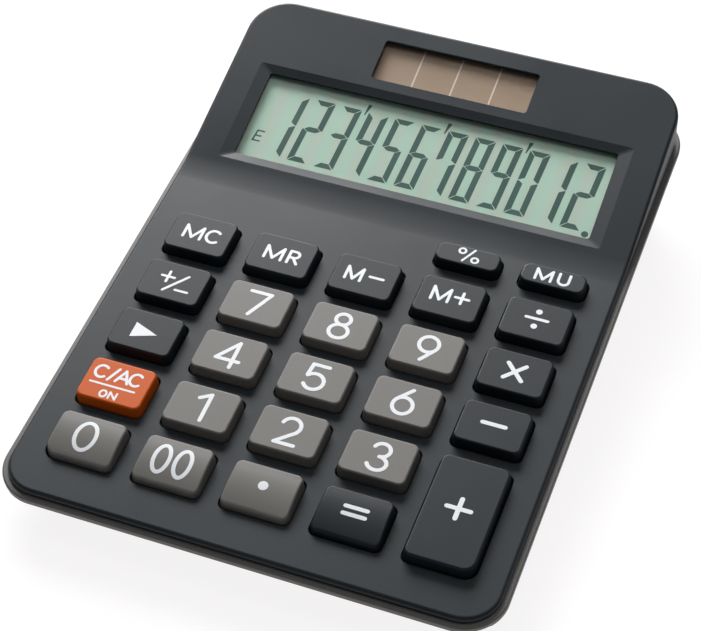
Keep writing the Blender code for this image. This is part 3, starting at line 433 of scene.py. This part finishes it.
# Lower case: a taupe-grey moulding.  Its rim shows as a narrow ledge all round the upper case, and
# below the rim the hull draws in to a flat base that is level with the table.
RIM_TOP, RIM_FOOT = -0.00135, -0.00265
BASE_INSET = 0.0095
FOOT_STANDS = 0.001
HULL_STEPS = ((0.25, 0.28), (0.42, 0.5), (0.62, 0.72), (0.8, 0.88), (1.0, 1.0))


def extrude(rise):
    bpy.ops.mesh.extrude_region_move(TRANSFORM_OT_translate={"value": (0, 0, rise)})


def widen(across, along):
    """Scale what is selected about the upright axis through the middle."""
    bpy.ops.transform.resize(value=(across, along, 1), center_override=(0, 0, 0))


def hull(name, inset, top, raised):
    """Tub under the rim: each ring down is narrower, lower and nearer to level than the one before.
    The steps are shares of the whole inset and the whole depth."""
    x, y = HALF_WIDE - inset, HALF_LONG - inset
    rim = RIM_FOOT + raised
    tub = plan_block(name, inset, rim, top)
    edit(tub, 'FACE', lambda p: p.z < rim + NEAR)
    level = math.tan(TILT)
    deep = (LIFT[2] - FOOT_STANDS) / math.cos(TILT) + RIM_FOOT
    last_depth, last_reach = 0.0, 0.0
    for reach, depth in HULL_STEPS:
        extrude((last_depth - depth) * deep)
        inner, outer = BASE_INSET * reach, BASE_INSET * last_reach
        widen((x - inner) / (x - outer), (y - inner) / (y - outer))
        turn = math.atan(level * depth) - math.atan(level * last_depth)
        bpy.ops.transform.rotate(value=turn, orient_axis='X', center_override=(0, 0, rim - depth * deep))
        last_depth, last_reach = depth, reach
    done()
    return tub


lower = hull("lower_shell", 0, RIM_TOP, 0)
sharp(lower, 60, lambda p: True)
bpy.ops.mesh.bevel(offset=0.0004, segments=4, affect='EDGES')
done()
combine(lower, hull("tub_inside", 0.00175, 0.001, 0.0018), 'DIFFERENCE')


def pillar(name, radius, low, high, place, sides=32):
    """Upright cylinder between two heights."""
    bpy.ops.mesh.primitive_cylinder_add(vertices=sides, radius=radius, depth=high - low,
                                        location=(place[0], place[1], (low + high) / 2))
    bpy.context.object.name = name
    return bpy.context.object


def base(y):
    """Height of the underside over the keypad plane."""
    return (FOOT_STANDS - LIFT[2] - y * math.sin(TILT)) / math.cos(TILT)


screw_places = [(side * x, y) for side in (-1, 1)
                for x, y in ((1.5 * ACROSS, ROW_ZERO - 3.5 * ALONG), (1.5 * ACROSS, ROW_ZERO + 0.5 * ALONG),
                             (0.038, 0.06))]
for x, y in screw_places:
    combine(lower, pillar("boss", 0.0036, base(y) + 0.0009, base(y) + 0.0032, (x, y)), 'UNION')
for x, y in screw_places:
    combine(lower, pillar("bore", 0.0011, base(y) - 0.002, base(y) + 0.005, (x, y)), 'DIFFERENCE')
    combine(lower, pillar("sink", 0.0021, base(y) - 0.002, base(y) + 0.002, (x, y)), 'DIFFERENCE')
coat(lower, plastic("taupe_abs", (0.1, 0.094, 0.086), (0.122, 0.115, 0.105), 0.5))
settle(lower, "case", "lower_case")

# The foot pockets are cut last, square to the table.
FOOT_X, FOOT_Y, FOOT_RADIUS = 0.036, 0.0525, 0.004
for x in (-FOOT_X, FOOT_X):
    for y in (-FOOT_Y, FOOT_Y):
        combine(lower, pillar("pocket", FOOT_RADIUS + CLEARANCE, -0.001, 0.0016, (x, y), 48), 'DIFFERENCE')
smooth(lower)

# Feet: four black rubber pads, pressed into the pockets of the base.  Their lower edges are rounded,
# and the calculator stands on them 1 mm clear of the table.
foot_rubber = plastic("foot_rubber", (0.02, 0.02, 0.02), (0.04, 0.04, 0.04), 0.8, 0.0003, 0.3)
for side, x in (("left", -FOOT_X), ("right", FOOT_X)):
    for end, y in (("front", -FOOT_Y), ("back", FOOT_Y)):
        foot = pillar(f"rubber_foot_{end}_{side}", FOOT_RADIUS, 0, 0.0013, (x, y), 48)
        apply(foot)
        edit(foot, 'EDGE', lambda p: p.z < NEAR)
        bpy.ops.mesh.bevel(offset=0.0004, segments=3, affect='EDGES')
        done()
        smooth(foot)
        coat(foot, foot_rubber)
        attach(foot, "case")
        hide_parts(f"foot_{end}_{side}")


# Keys: hollow ABS caps with tapered walls and a softened top edge.  A flange keeps each one in the
# case, and the post in its hollow stands on a rubber dome.
CAP_HIGH, CAP_SKIRT, CAP_TAPER = 0.0024, 0.0021, 0.00025
CROWN_RADIUS = 0.027
FLANGE, CAP_WALL = 0.001, 0.0012


def cap(name, long, radii, curved=False, post=0.0017):
    """Key cap about its own middle, with the case's face at height 0.  A curved one is crowned
    from front to back, highest a little behind its middle."""
    x, y = KEY_WIDE / 2 + CAP_TAPER, long / 2 + CAP_TAPER
    made = block(name, (-x, -y, -CAP_SKIRT), (x, y, CAP_HIGH), [r + CAP_TAPER for r in radii], 8)
    whole(made)
    bpy.ops.mesh.bisect(plane_co=(0, 0, 0), plane_no=(0, 0, 1))
    done()
    edit(made, 'VERT', lambda p: p.z > CAP_HIGH / 2)
    widen(KEY_WIDE / 2 / x, long / 2 / y)
    done()
    if curved:
        bpy.ops.mesh.primitive_cylinder_add(vertices=320, radius=CROWN_RADIUS, depth=0.03,
                                            rotation=(0, math.pi / 2, 0),
                                            location=(0, 0.0024, CAP_HIGH - CROWN_RADIUS))
        drum = bpy.context.object
        apply(drum)
        combine(made, drum, 'INTERSECT')
    sharp(made, 50, lambda p: p.z > 0.0009)
    bpy.ops.mesh.bevel(offset=0.00042, segments=4, affect='EDGES')
    done()
    edit(made, 'FACE', lambda p: p.z < NEAR - CAP_SKIRT)
    extrude(0)
    widen(1.01, (y + FLANGE) / y)
    extrude(-0.0008)
    extrude(0)
    widen(0.84, (y - CAP_WALL) / (y + FLANGE))
    extrude(0.0026)
    done()
    combine(made, pillar("post", post, -0.0029, 0.0001, (0, 0), 24), 'UNION')
    return made


plain_cap = cap("plain_cap", KEY_LONG, PLAIN_RADII)
short_cap = cap("short_cap", SHORT_LONG, SHORT_RADII, post=0.0011)
tall_cap = cap("tall_cap", TALL_LONG, TALL_RADII)
front_cap = cap("front_cap", KEY_LONG, PLAIN_RADII, curved=True)
corner_cap = cap("corner_cap", KEY_LONG, CORNER_RADII, curved=True)

grey = plastic("grey_abs", (0.155, 0.147, 0.135), (0.19, 0.181, 0.168), 0.45, gleam=0.35)
dark = plastic("black_abs", (0.009, 0.0135, 0.0175), (0.015, 0.0205, 0.0255), 0.42, gleam=0.24)
orange = plastic("orange_abs", (0.6, 0.095, 0.004), (0.68, 0.115, 0.007), 0.42, gleam=0.22)
white_ink = plastic("white_ink", (0.84, 0.86, 0.89), (0.9, 0.92, 0.95), 0.5, 0.0002, 0.05)


# Legends: white ink printed on the caps in strokes with round ends.  Each is drawn in millimetres
# about its key's middle, laid onto the cap, and given the thickness of ink.
INK = 0.00003


def arc(x, y, across, along, start, end, steps=14):
    """Points on an ellipse about (x, y), from one angle to another."""
    angles = [math.radians(start + (end - start) * step / steps) for step in range(steps + 1)]
    return [(x + across * math.cos(angle), y + along * math.sin(angle)) for angle in angles]


def ring(x, y, across, along):
    """Closed stroke: its points, then the word that says so."""
    return arc(x, y, across, along, 0, 345, 23) + ["closed"]


def letter_m(left, right, top, low):
    valley = ((left + right) / 2, low + 0.15)
    return [[(left, low), (left, top)], [(left, top), valley], [valley, (right, top)],
            [(right, top), (right, low)]]


def letter_c(x, y, across, along):
    return [arc(x, y, across, along, 48, 312, 18)]


def outline(stroke, half):
    """Boundary of a stroke with round ends, or the two boundaries of a ring."""
    closed = stroke[-1] == "closed"
    points = stroke[:-1] if closed else stroke
    headings, left, right = [], [], []
    for index, (x, y) in enumerate(points):
        before = points[index - 1] if closed or index else points[0]
        after = points[(index + 1) % len(points)] if closed or index < len(points) - 1 else points[-1]
        heading = math.atan2(after[1] - before[1], after[0] - before[0])
        left.append((x - half * math.sin(heading), y + half * math.cos(heading)))
        right.append((x + half * math.sin(heading), y - half * math.cos(heading)))
        headings.append(math.degrees(heading))
    if closed:
        return [left, right]
    last = arc(*points[-1], half, half, headings[-1] + 90, headings[-1] - 90, 8)
    first = arc(*points[0], half, half, headings[0] - 90, headings[0] - 270, 8)
    return [left[1:-1] + last + right[1:-1][::-1] + first]


def filled(name, polygons, height):
    """Prisms over straight-sided shapes, from height / 2 below their plane to height / 2 above it."""
    line = bpy.data.curves.new(name, 'CURVE')
    line.dimensions = '2D'
    line.fill_mode = 'BOTH'
    line.extrude = height / 2
    for polygon in polygons:
        spline = line.splines.new('POLY')
        spline.points.add(len(polygon) - 1)
        spline.use_cyclic_u = True
        for point, (x, y) in zip(spline.points, polygon):
            point.co = (x / 1000, y / 1000, 0, 1)
    shape = bpy.data.objects.new(name, line)
    bpy.context.scene.collection.objects.link(shape)
    only(shape)
    bpy.ops.object.convert(target='MESH')
    shape = bpy.context.object
    bpy.ops.object.shade_flat()
    whole(shape)
    bpy.ops.mesh.remove_doubles(threshold=1e-7)
    bpy.ops.mesh.normals_make_consistent(inside=False)
    done()
    return shape


def drawn(name, groups):
    """Prisms over strokes, given as groups of one width, grown together into one body."""
    legend = None
    for strokes, width in groups:
        for order, stroke in enumerate(strokes):
            piece = filled(name, outline(stroke, width / 2), 0.003 + 0.00004 * order)
            if legend:
                combine(legend, piece, 'UNION')
            else:
                legend = piece
    return legend


def twin(piece, name):
    """Copy of a piece with a mesh of its own."""
    made = piece.copy()
    made.data = piece.data.copy()
    made.name = made.data.name = name
    bpy.context.scene.collection.objects.link(made)
    return made


def printed(shape, key, ink):
    """Cut a legend to the top of a key, a film of ink proud of it, and make it part of the key."""
    shape.location = (0, 0, 0.003)
    apply(shape)
    skin = twin(key, "skin")
    skin.location = (0, 0, INK)
    apply(skin)
    combine(shape, skin, 'INTERSECT')
    coat(shape, ink)
    join(key, shape)


DIGITS = {
    "0": [ring(-0.15, 0.1, 2.15, 3.25)],
    "1": [[(-1.3, 2.0), (0.9, 3.4)], [(0.9, 3.4), (0.9, -3.4)]],
    "2": [arc(0, 1.3, 2.0, 2.0, 165, -38), [(1.58, 0.0), (-2.1, -3.3)], [(-2.1, -3.3), (2.1, -3.3)]],
    "3": [arc(0.2, 1.6, 1.75, 1.65, 160, -90), arc(0.2, -1.75, 2.0, 1.7, 90, -160)],
    "4": [[(1.2, 3.3), (-2.5, -1.6)], [(-2.5, -1.6), (2.6, -1.6)], [(1.2, 3.3), (1.2, -3.4)]],
    "5": [[(2.0, 3.2), (-1.5, 3.2)], [(-1.5, 3.2), (-1.8, 0.3)], arc(0, -1.15, 2.15, 2.1, 143, -150)],
    "6": [ring(0.2, -1.1, 2.1, 2.15), [(-1.55, 0.15), (1.2, 3.3)]],
    "7": [[(-2.2, 3.1), (2.4, 3.1)], [(2.4, 3.1), (-0.7, -3.3)]],
    "8": [ring(0, 1.8, 1.6, 1.5), ring(0, -1.55, 2.05, 1.85)],
    "9": [ring(0.1, 1.2, 2.1, 2.1), [(1.85, 0.05), (-0.5, -3.2)]],
}
M_TOP, M_LOW = 1.8, -1.6
WORDS = {
    "memory_clear": [(letter_m(-3.7, 0.2, M_TOP, M_LOW) + letter_c(2.95, 0.1, 1.6, 1.75), 0.66)],
    "memory_recall": [(letter_m(-3.7, 0.1, M_TOP, M_LOW) + [
        [(1.6, M_LOW), (1.6, M_TOP)], [(1.6, M_TOP), (2.8, M_TOP)], arc(2.8, 0.9, 0.95, 0.9, 90, -90, 8),
        [(2.8, 0), (1.6, 0)], [(2.6, 0), (3.8, M_LOW)]], 0.66)],
    "memory_minus": [(letter_m(-4.1, -0.7, M_TOP, M_LOW) + [[(1.1, 0.25), (4.1, 0.25)]], 0.66)],
    "memory_plus": [(letter_m(-3.9, -0.2, 2.3, -1.2) + [
        [(1.1, 0.7), (4.1, 0.7)], [(2.6, 2.2), (2.6, -0.8)]], 0.66)],
    "mark_up": [(letter_m(-3.8, -0.4, 1.5, -1.4) + [
        [(1.15, 1.5), (1.15, -0.4)], arc(2.3, -0.4, 1.15, 1.05, 180, 360), [(3.45, -0.4), (3.45, 1.5)]],
        0.62)],
    "percent": [([
        ring(-1.6, 1.15, 0.72, 0.72), ring(1.7, -0.8, 0.72, 0.72), [(1.0, 2.0), (-0.9, -1.6)]], 0.5)],
    "divide": [([[(-2.3, 0.45), (2.4, 0.45)]], 0.72),
               ([[(0, 2.45), (0.01, 2.45)], [(0, -1.65), (0.01, -1.65)]], 1.4)],
    "multiply": [([[(-1.95, 2.0), (1.9, -2.0)], [(-1.95, -2.0), (1.9, 2.0)]], 0.92)],
    "minus": [([[(-2.3, 0.3), (2.5, 0.3)]], 0.95)],
    "plus": [([[(-2.5, 0.5), (2.4, 0.5)], [(-0.05, 2.9), (-0.05, -1.9)]], 0.98)],
    "equals": [([[(-2.0, 1.4), (2.6, 1.4)], [(-2.0, -0.3), (2.6, -0.3)]], 0.88)],
    "sign": [([[(-3.2, 1.0), (-0.3, 1.0)], [(-1.75, 2.45), (-1.75, -0.45)], [(2.6, 2.2), (-1.5, -2.9)],
               [(1.1, -2.1), (3.9, -2.1)]], 0.6)],
    "clear": [(letter_c(-4.1, 1.8, 1.4, 1.55) + letter_c(3.65, 1.8, 1.35, 1.55) + [
        [(-0.7, 3.4), (-2.2, 0.1)], [(-0.5, 0.25), (0.85, 3.35)], [(0.85, 3.35), (2.15, 0.25)],
        [(0.0, 1.25), (1.7, 1.25)]], 0.6), ([[(-5.4, -1.25), (4.5, -1.25)]], 0.48),
        ([ring(-1.45, -3.5, 0.7, 0.83), [(-0.1, -4.3), (-0.1, -2.7)], [(-0.1, -2.7), (1.4, -4.3)],
          [(1.4, -4.3), (1.4, -2.7)]], 0.44)],
    "point": [([[(0.1, 0.5), (0.11, 0.5)]], 2.1)],
    "00": [([ring(-2.5, 0.1, 1.6, 3.15), ring(2.1, 0.1, 1.6, 3.15)], 0.85)],
}
LAYOUT = {
    "percent": (1, None), "mark_up": (2, None),
    "memory_clear": (-2, 0), "memory_recall": (-1, 0), "memory_minus": (0, 0), "memory_plus": (1, 0),
    "divide": (2, 0),
    "sign": (-2, 1), "7": (-1, 1), "8": (0, 1), "9": (1, 1), "multiply": (2, 1),
    "backspace": (-2, 2), "4": (-1, 2), "5": (0, 2), "6": (1, 2), "minus": (2, 2),
    "clear": (-2, 3), "1": (-1, 3), "2": (0, 3), "3": (1, 3), "plus": (2, 3.5),
    "0": (-2, 4), "00": (-1, 4), "point": (0, 4), "equals": (1, 4),
}
for name, (column, row) in LAYOUT.items():
    if row is None:
        source = short_cap
    elif name == "plus":
        source = tall_cap
    elif row == 4:
        source = corner_cap if column == -2 else front_cap
    else:
        source = plain_cap
    key = twin(source, f"cap_{name}")
    if name in DIGITS or name in ("00", "point"):
        finish, slot = grey, "grey_key_plastic"
    elif name == "clear":
        finish, slot = orange, "orange_key_plastic"
    else:
        finish, slot = dark, "dark_key_plastic"
    coat(key, finish)
    if name == "backspace":
        legend = filled("legend", [((-2.8, 1.7), (-2.8, -2.4), (2.7, -0.4))], 0.003)
    else:
        legend = drawn("legend", WORDS.get(name) or [(DIGITS[name], 0.85)])
    printed(legend, key, white_ink)
    smooth(key, 40)
    key.location = (*key_place(column, row), 0)
    apply(key)
    settle(key, f"key_{name}", f"key_{name}")
for source in (plain_cap, short_cap, tall_cap, front_cap, corner_cap):
    bpy.data.objects.remove(source)


# Display: a reflective liquid crystal panel behind a thin clear window.  The digits are dark
# segments in the glass, leaning a little to the right.
def upright_box(name, low, high):
    """Block with slightly eased upright edges."""
    return block(name, low, high, (0.0005,) * 4, 4)


def glazing(name, colour, roughness):
    """Clear polished plastic that lets lamps light what is behind it, with the faintest haze."""
    made = bpy.data.materials.new(name)
    made.use_nodes = True
    nodes, wire = made.node_tree.nodes, made.node_tree.links.new
    shader = nodes["Principled BSDF"]
    shader.inputs["Transmission Weight"].default_value = 1.0
    shader.inputs["IOR"].default_value = 1.2
    place = nodes.new('ShaderNodeTexCoord')
    haze = nodes.new('ShaderNodeTexNoise')
    haze.inputs["Scale"].default_value = 60.0
    rough = nodes.new('ShaderNodeMapRange')
    rough.inputs["To Min"].default_value = roughness * 0.6
    rough.inputs["To Max"].default_value = roughness * 1.4
    tint = nodes.new('ShaderNodeMix')
    tint.data_type = 'RGBA'
    tint.inputs["A"].default_value = (*colour, 1)
    tint.inputs["B"].default_value = (*[c * 0.98 for c in colour], 1)
    path = nodes.new('ShaderNodeLightPath')
    gap = nodes.new('ShaderNodeBsdfTransparent')
    mix = nodes.new('ShaderNodeMixShader')
    wire(place.outputs["Object"], haze.inputs["Vector"])
    wire(haze.outputs["Fac"], rough.inputs["Value"])
    wire(haze.outputs["Fac"], tint.inputs["Factor"])
    wire(rough.outputs["Result"], shader.inputs["Roughness"])
    wire(tint.outputs["Result"], shader.inputs["Base Color"])
    wire(path.outputs["Is Shadow Ray"], mix.inputs["Fac"])
    wire(shader.outputs[0], mix.inputs[1])
    wire(gap.outputs[0], mix.inputs[2])
    wire(mix.outputs[0], nodes["Material Output"].inputs["Surface"])
    return made


window_plastic = glazing("window_acrylic", (0.98, 0.99, 0.985), 0.02)
window = upright_box("display_pane", (-0.04337, 0.0054, -0.0018), (0.04337, 0.032, -0.0013))
coat(window, window_plastic)
lean(window)
settle(window, "case", "display_window")

panel = upright_box("display_panel", (-0.04447, 0.0043, -0.004), (0.04447, 0.0331, -0.002))
glass = plastic("display_glass", (0.285, 0.405, 0.33), (0.305, 0.425, 0.35), 0.5, 0.001, 0.0, gleam=0.1)
nodes, wire = glass.node_tree.nodes, glass.node_tree.links.new
bands = nodes.new('ShaderNodeTexWave')
bands.wave_profile = 'SIN'
bands.inputs["Scale"].default_value = 55.0
bands.inputs["Distortion"].default_value = 0.6
blush = nodes.new('ShaderNodeMix')
blush.data_type = 'RGBA'
blush.inputs["B"].default_value = (0.325, 0.385, 0.325, 1)
wire(nodes["Texture Coordinate"].outputs["Object"], bands.inputs["Vector"])
wire(bands.outputs["Fac"], blush.inputs["Factor"])
wire(nodes["Mix"].outputs["Result"], blush.inputs["A"])
wire(blush.outputs["Result"], nodes["Principled BSDF"].inputs["Base Color"])
coat(panel, glass)

# The digits are drawn in millimetres: height and width, the thickness of the level bars and of the
# upright ones, the height of the middle bar, the points at its ends, and the lean.
HIGH, WIDE, BAR, STEM = 17.8, 4.75, 1.35, 1.4
MIDDLE, POINT, LEAN = 9.35, 0.35, 0.055
DIGIT_PITCH, DIGIT_FOOT = 6.45, 9.25


def segment(part):
    """Outline of one of the seven segments of a digit, in millimetres from its lower left corner."""
    gap, half = 0.09, BAR / 2
    shapes = {
        "a": [(gap * 2, HIGH), (WIDE - gap * 2, HIGH), (WIDE - STEM - gap, HIGH - BAR),
              (STEM + gap, HIGH - BAR)],
        "d": [(gap * 2, 0), (STEM + gap, BAR), (WIDE - STEM - gap, BAR), (WIDE - gap * 2, 0)],
        "g": [(POINT + gap, MIDDLE), (STEM, MIDDLE + half), (WIDE - STEM, MIDDLE + half),
              (WIDE - POINT - gap, MIDDLE), (WIDE - STEM, MIDDLE - half), (STEM, MIDDLE - half)],
        "b": [(WIDE, HIGH - gap * 2), (WIDE, MIDDLE + gap * 1.5), (WIDE - POINT, MIDDLE + gap * 1.5),
              (WIDE - STEM, MIDDLE + half + gap * 1.5), (WIDE - STEM, HIGH - BAR - gap)],
        "c": [(WIDE, gap * 2), (WIDE - STEM, BAR + gap), (WIDE - STEM, MIDDLE - half - gap * 1.5),
              (WIDE - POINT, MIDDLE - gap * 1.5), (WIDE, MIDDLE - gap * 1.5)],
    }
    if part in shapes:
        return shapes[part]
    return [(WIDE - x, y) for x, y in shapes[{"f": "b", "e": "c"}[part]]][::-1]


LIT = {"1": "bc", "2": "abged", "3": "abgcd", "4": "fgbc", "5": "afgcd", "6": "afgedc", "7": "fabc",
       "8": "abcdefg", "9": "abcdfg", "0": "abcdef"}
marks = []
for order, number in enumerate("123456789012"):
    left = -31.05 + DIGIT_PITCH * order - WIDE + STEM / 2 - 1.5
    marks += [[(left + x + LEAN * y, DIGIT_FOOT + y) for x, y in segment(part)] for part in LIT[number]]
    if order in (2, 5, 8):
        # tick that sets off a thousand
        edge = left + WIDE + 1.35
        marks.append([(edge + 1.45, 29.0), (edge + 0.55, 29.0), (edge + 0.35, 25.9), (edge + 0.6, 25.9)])
turns = [math.tau * step / 24 for step in range(24)]
marks.append([(40.35 + 0.8 * math.cos(turn), 8.75 + 0.8 * math.sin(turn)) for turn in turns])
error_mark = [(-39.9, 12.1), (-37.9, 12.1), (-37.85, 12.5), (-39.4, 12.5), (-39.3, 13.5), (-38.0, 13.5),
              (-37.95, 13.9), (-39.25, 13.9), (-39.15, 14.9), (-37.6, 14.9), (-37.55, 15.3), (-39.5, 15.3)]
marks.append(error_mark)
segments = filled("segments", marks, 0.00002)
segments.location = (0, 0, -0.00199)
apply(segments)
dark_crystal = plastic("display_segments", (0.03, 0.066, 0.056), (0.04, 0.08, 0.067), 0.5, 0.001, 0.0,
                       gleam=0.1)
coat(segments, dark_crystal)
join(panel, segments)
lean(panel)
settle(panel, "case", "lcd_panel")


# Solar cell: brown amorphous silicon on glass in four fields with bright lines between them, under
# its own small window.
pane = upright_box("solar_pane", (-0.01985, 0.0341, -0.0016), (0.01985, 0.0477, -0.0011))
coat(pane, window_plastic)
lean(pane)
settle(pane, "case", "solar_window")

cell = upright_box("solar_fields", (-0.01985, 0.0341, -0.0029), (0.01985, 0.0477, -0.0018))
silicon = plastic("amorphous_silicon", (0.23, 0.165, 0.115), (0.26, 0.185, 0.13), 0.3, 0.003, 0.0, gleam=0.3)
coat(cell, silicon)
line_metal = plastic("cell_lines", (0.42, 0.34, 0.29), (0.5, 0.41, 0.35), 0.4, 0.001, 0.0)
FIELD_PITCH, LINE_HALF = 0.0093, 0.00018
lines = [block("line", (x - LINE_HALF, 0.0345, -0.0018), (x + LINE_HALF, 0.0473, -0.00176))
         for x in (-FIELD_PITCH, 0, FIELD_PITCH)]
for line in lines:
    coat(line, line_metal)
join(cell, *lines)
lean(cell)
settle(cell, "case", "solar_cell")


# Dome sheet: one moulding of translucent silicone rubber that lies on the circuit board.  Under every
# key it rises into a hollow dome, which stands under the post of its key.
SHEET_TOP, DOME_TOP = -0.0047, -0.0032
silicone = plastic("silicone", (0.5, 0.5, 0.48), (0.62, 0.62, 0.6), 0.65)
sheet = block("rubber_sheet", (-0.0438, -0.06405, -0.0052), (0.0438, 0.0185, SHEET_TOP),
              (0.0035, 0.0035, 0, 0))
for x, y in screw_places[:2] + screw_places[3:5]:
    combine(sheet, pillar("post_hole", 0.0022, -0.006, -0.004, (x, y)), 'DIFFERENCE')
smooth(sheet)
sheet.data.materials.append(silicone)
settle(sheet, "case", "dome_sheet")
bpy.ops.mesh.primitive_cylinder_add(vertices=40, radius=0.0036, depth=0.00175, location=(0, 0, -0.000875))
master = bpy.context.object
apply(master)
edit(master, 'VERT', lambda p: p.z > -0.0001)
widen(0.61, 0.61)
done()
edit(master, 'FACE', lambda p: p.z < -0.0017)
bpy.ops.mesh.inset(thickness=0.0005)
extrude(0.00125)
widen(0.6, 0.6)
done()
smooth(master)
master.data.materials.append(silicone)
for name, (column, row) in LAYOUT.items():
    x, y = key_place(column, row)
    dome = twin(master, f"dome_{name}")
    dome.location = (x, y, DOME_TOP)
    apply(dome)
    settle(dome, "case", "dome_sheet")
    foot = (x, y * math.cos(TILT) - SHEET_TOP * math.sin(TILT),
            y * math.sin(TILT) + SHEET_TOP * math.cos(TILT) + LIFT[2])
    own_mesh(dome)
bpy.data.objects.remove(master)


# Inside: the pieces that the case hides keep their plain shapes and get surfaces of their own, from
# the phenolic board and its resin to the zinc-plated screws and the nickel-plated cell.
INSIDE = {
    "circuit_board": plastic("phenolic_board", (0.22, 0.13, 0.045), (0.34, 0.22, 0.09), 0.5, 0.0006),
    "chip_cover": plastic("epoxy", (0.012, 0.012, 0.012), (0.03, 0.03, 0.03), 0.3, 0.001),
    "capacitor": plastic("sleeve", (0.01, 0.035, 0.12), (0.03, 0.06, 0.18), 0.35, 0.001),
    "display_film_connector": plastic("film", (0.4, 0.3, 0.17), (0.55, 0.44, 0.28), 0.35, 0.0006),
    "solar_lead_negative": plastic("black_wire", (0.012, 0.012, 0.012), (0.03, 0.03, 0.03), 0.45),
    "solar_lead_positive": plastic("red_wire", (0.4, 0.02, 0.012), (0.55, 0.04, 0.02), 0.45),
}
steel = plastic("zinc_steel", (0.45, 0.45, 0.46), (0.6, 0.6, 0.6), 0.32, 0.0005)
nickel = plastic("nickel", (0.6, 0.58, 0.54), (0.7, 0.68, 0.64), 0.28, 0.0005)
for metal in (steel, nickel):
    metal.node_tree.nodes["Principled BSDF"].inputs["Metallic"].default_value = 1.0
for name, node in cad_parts.items():
    if "screw" in name:
        node.data.materials[0] = steel
    elif name.startswith(("button", "battery")):
        node.data.materials[0] = nickel
    elif name in INSIDE:
        node.data.materials[0] = INSIDE[name]
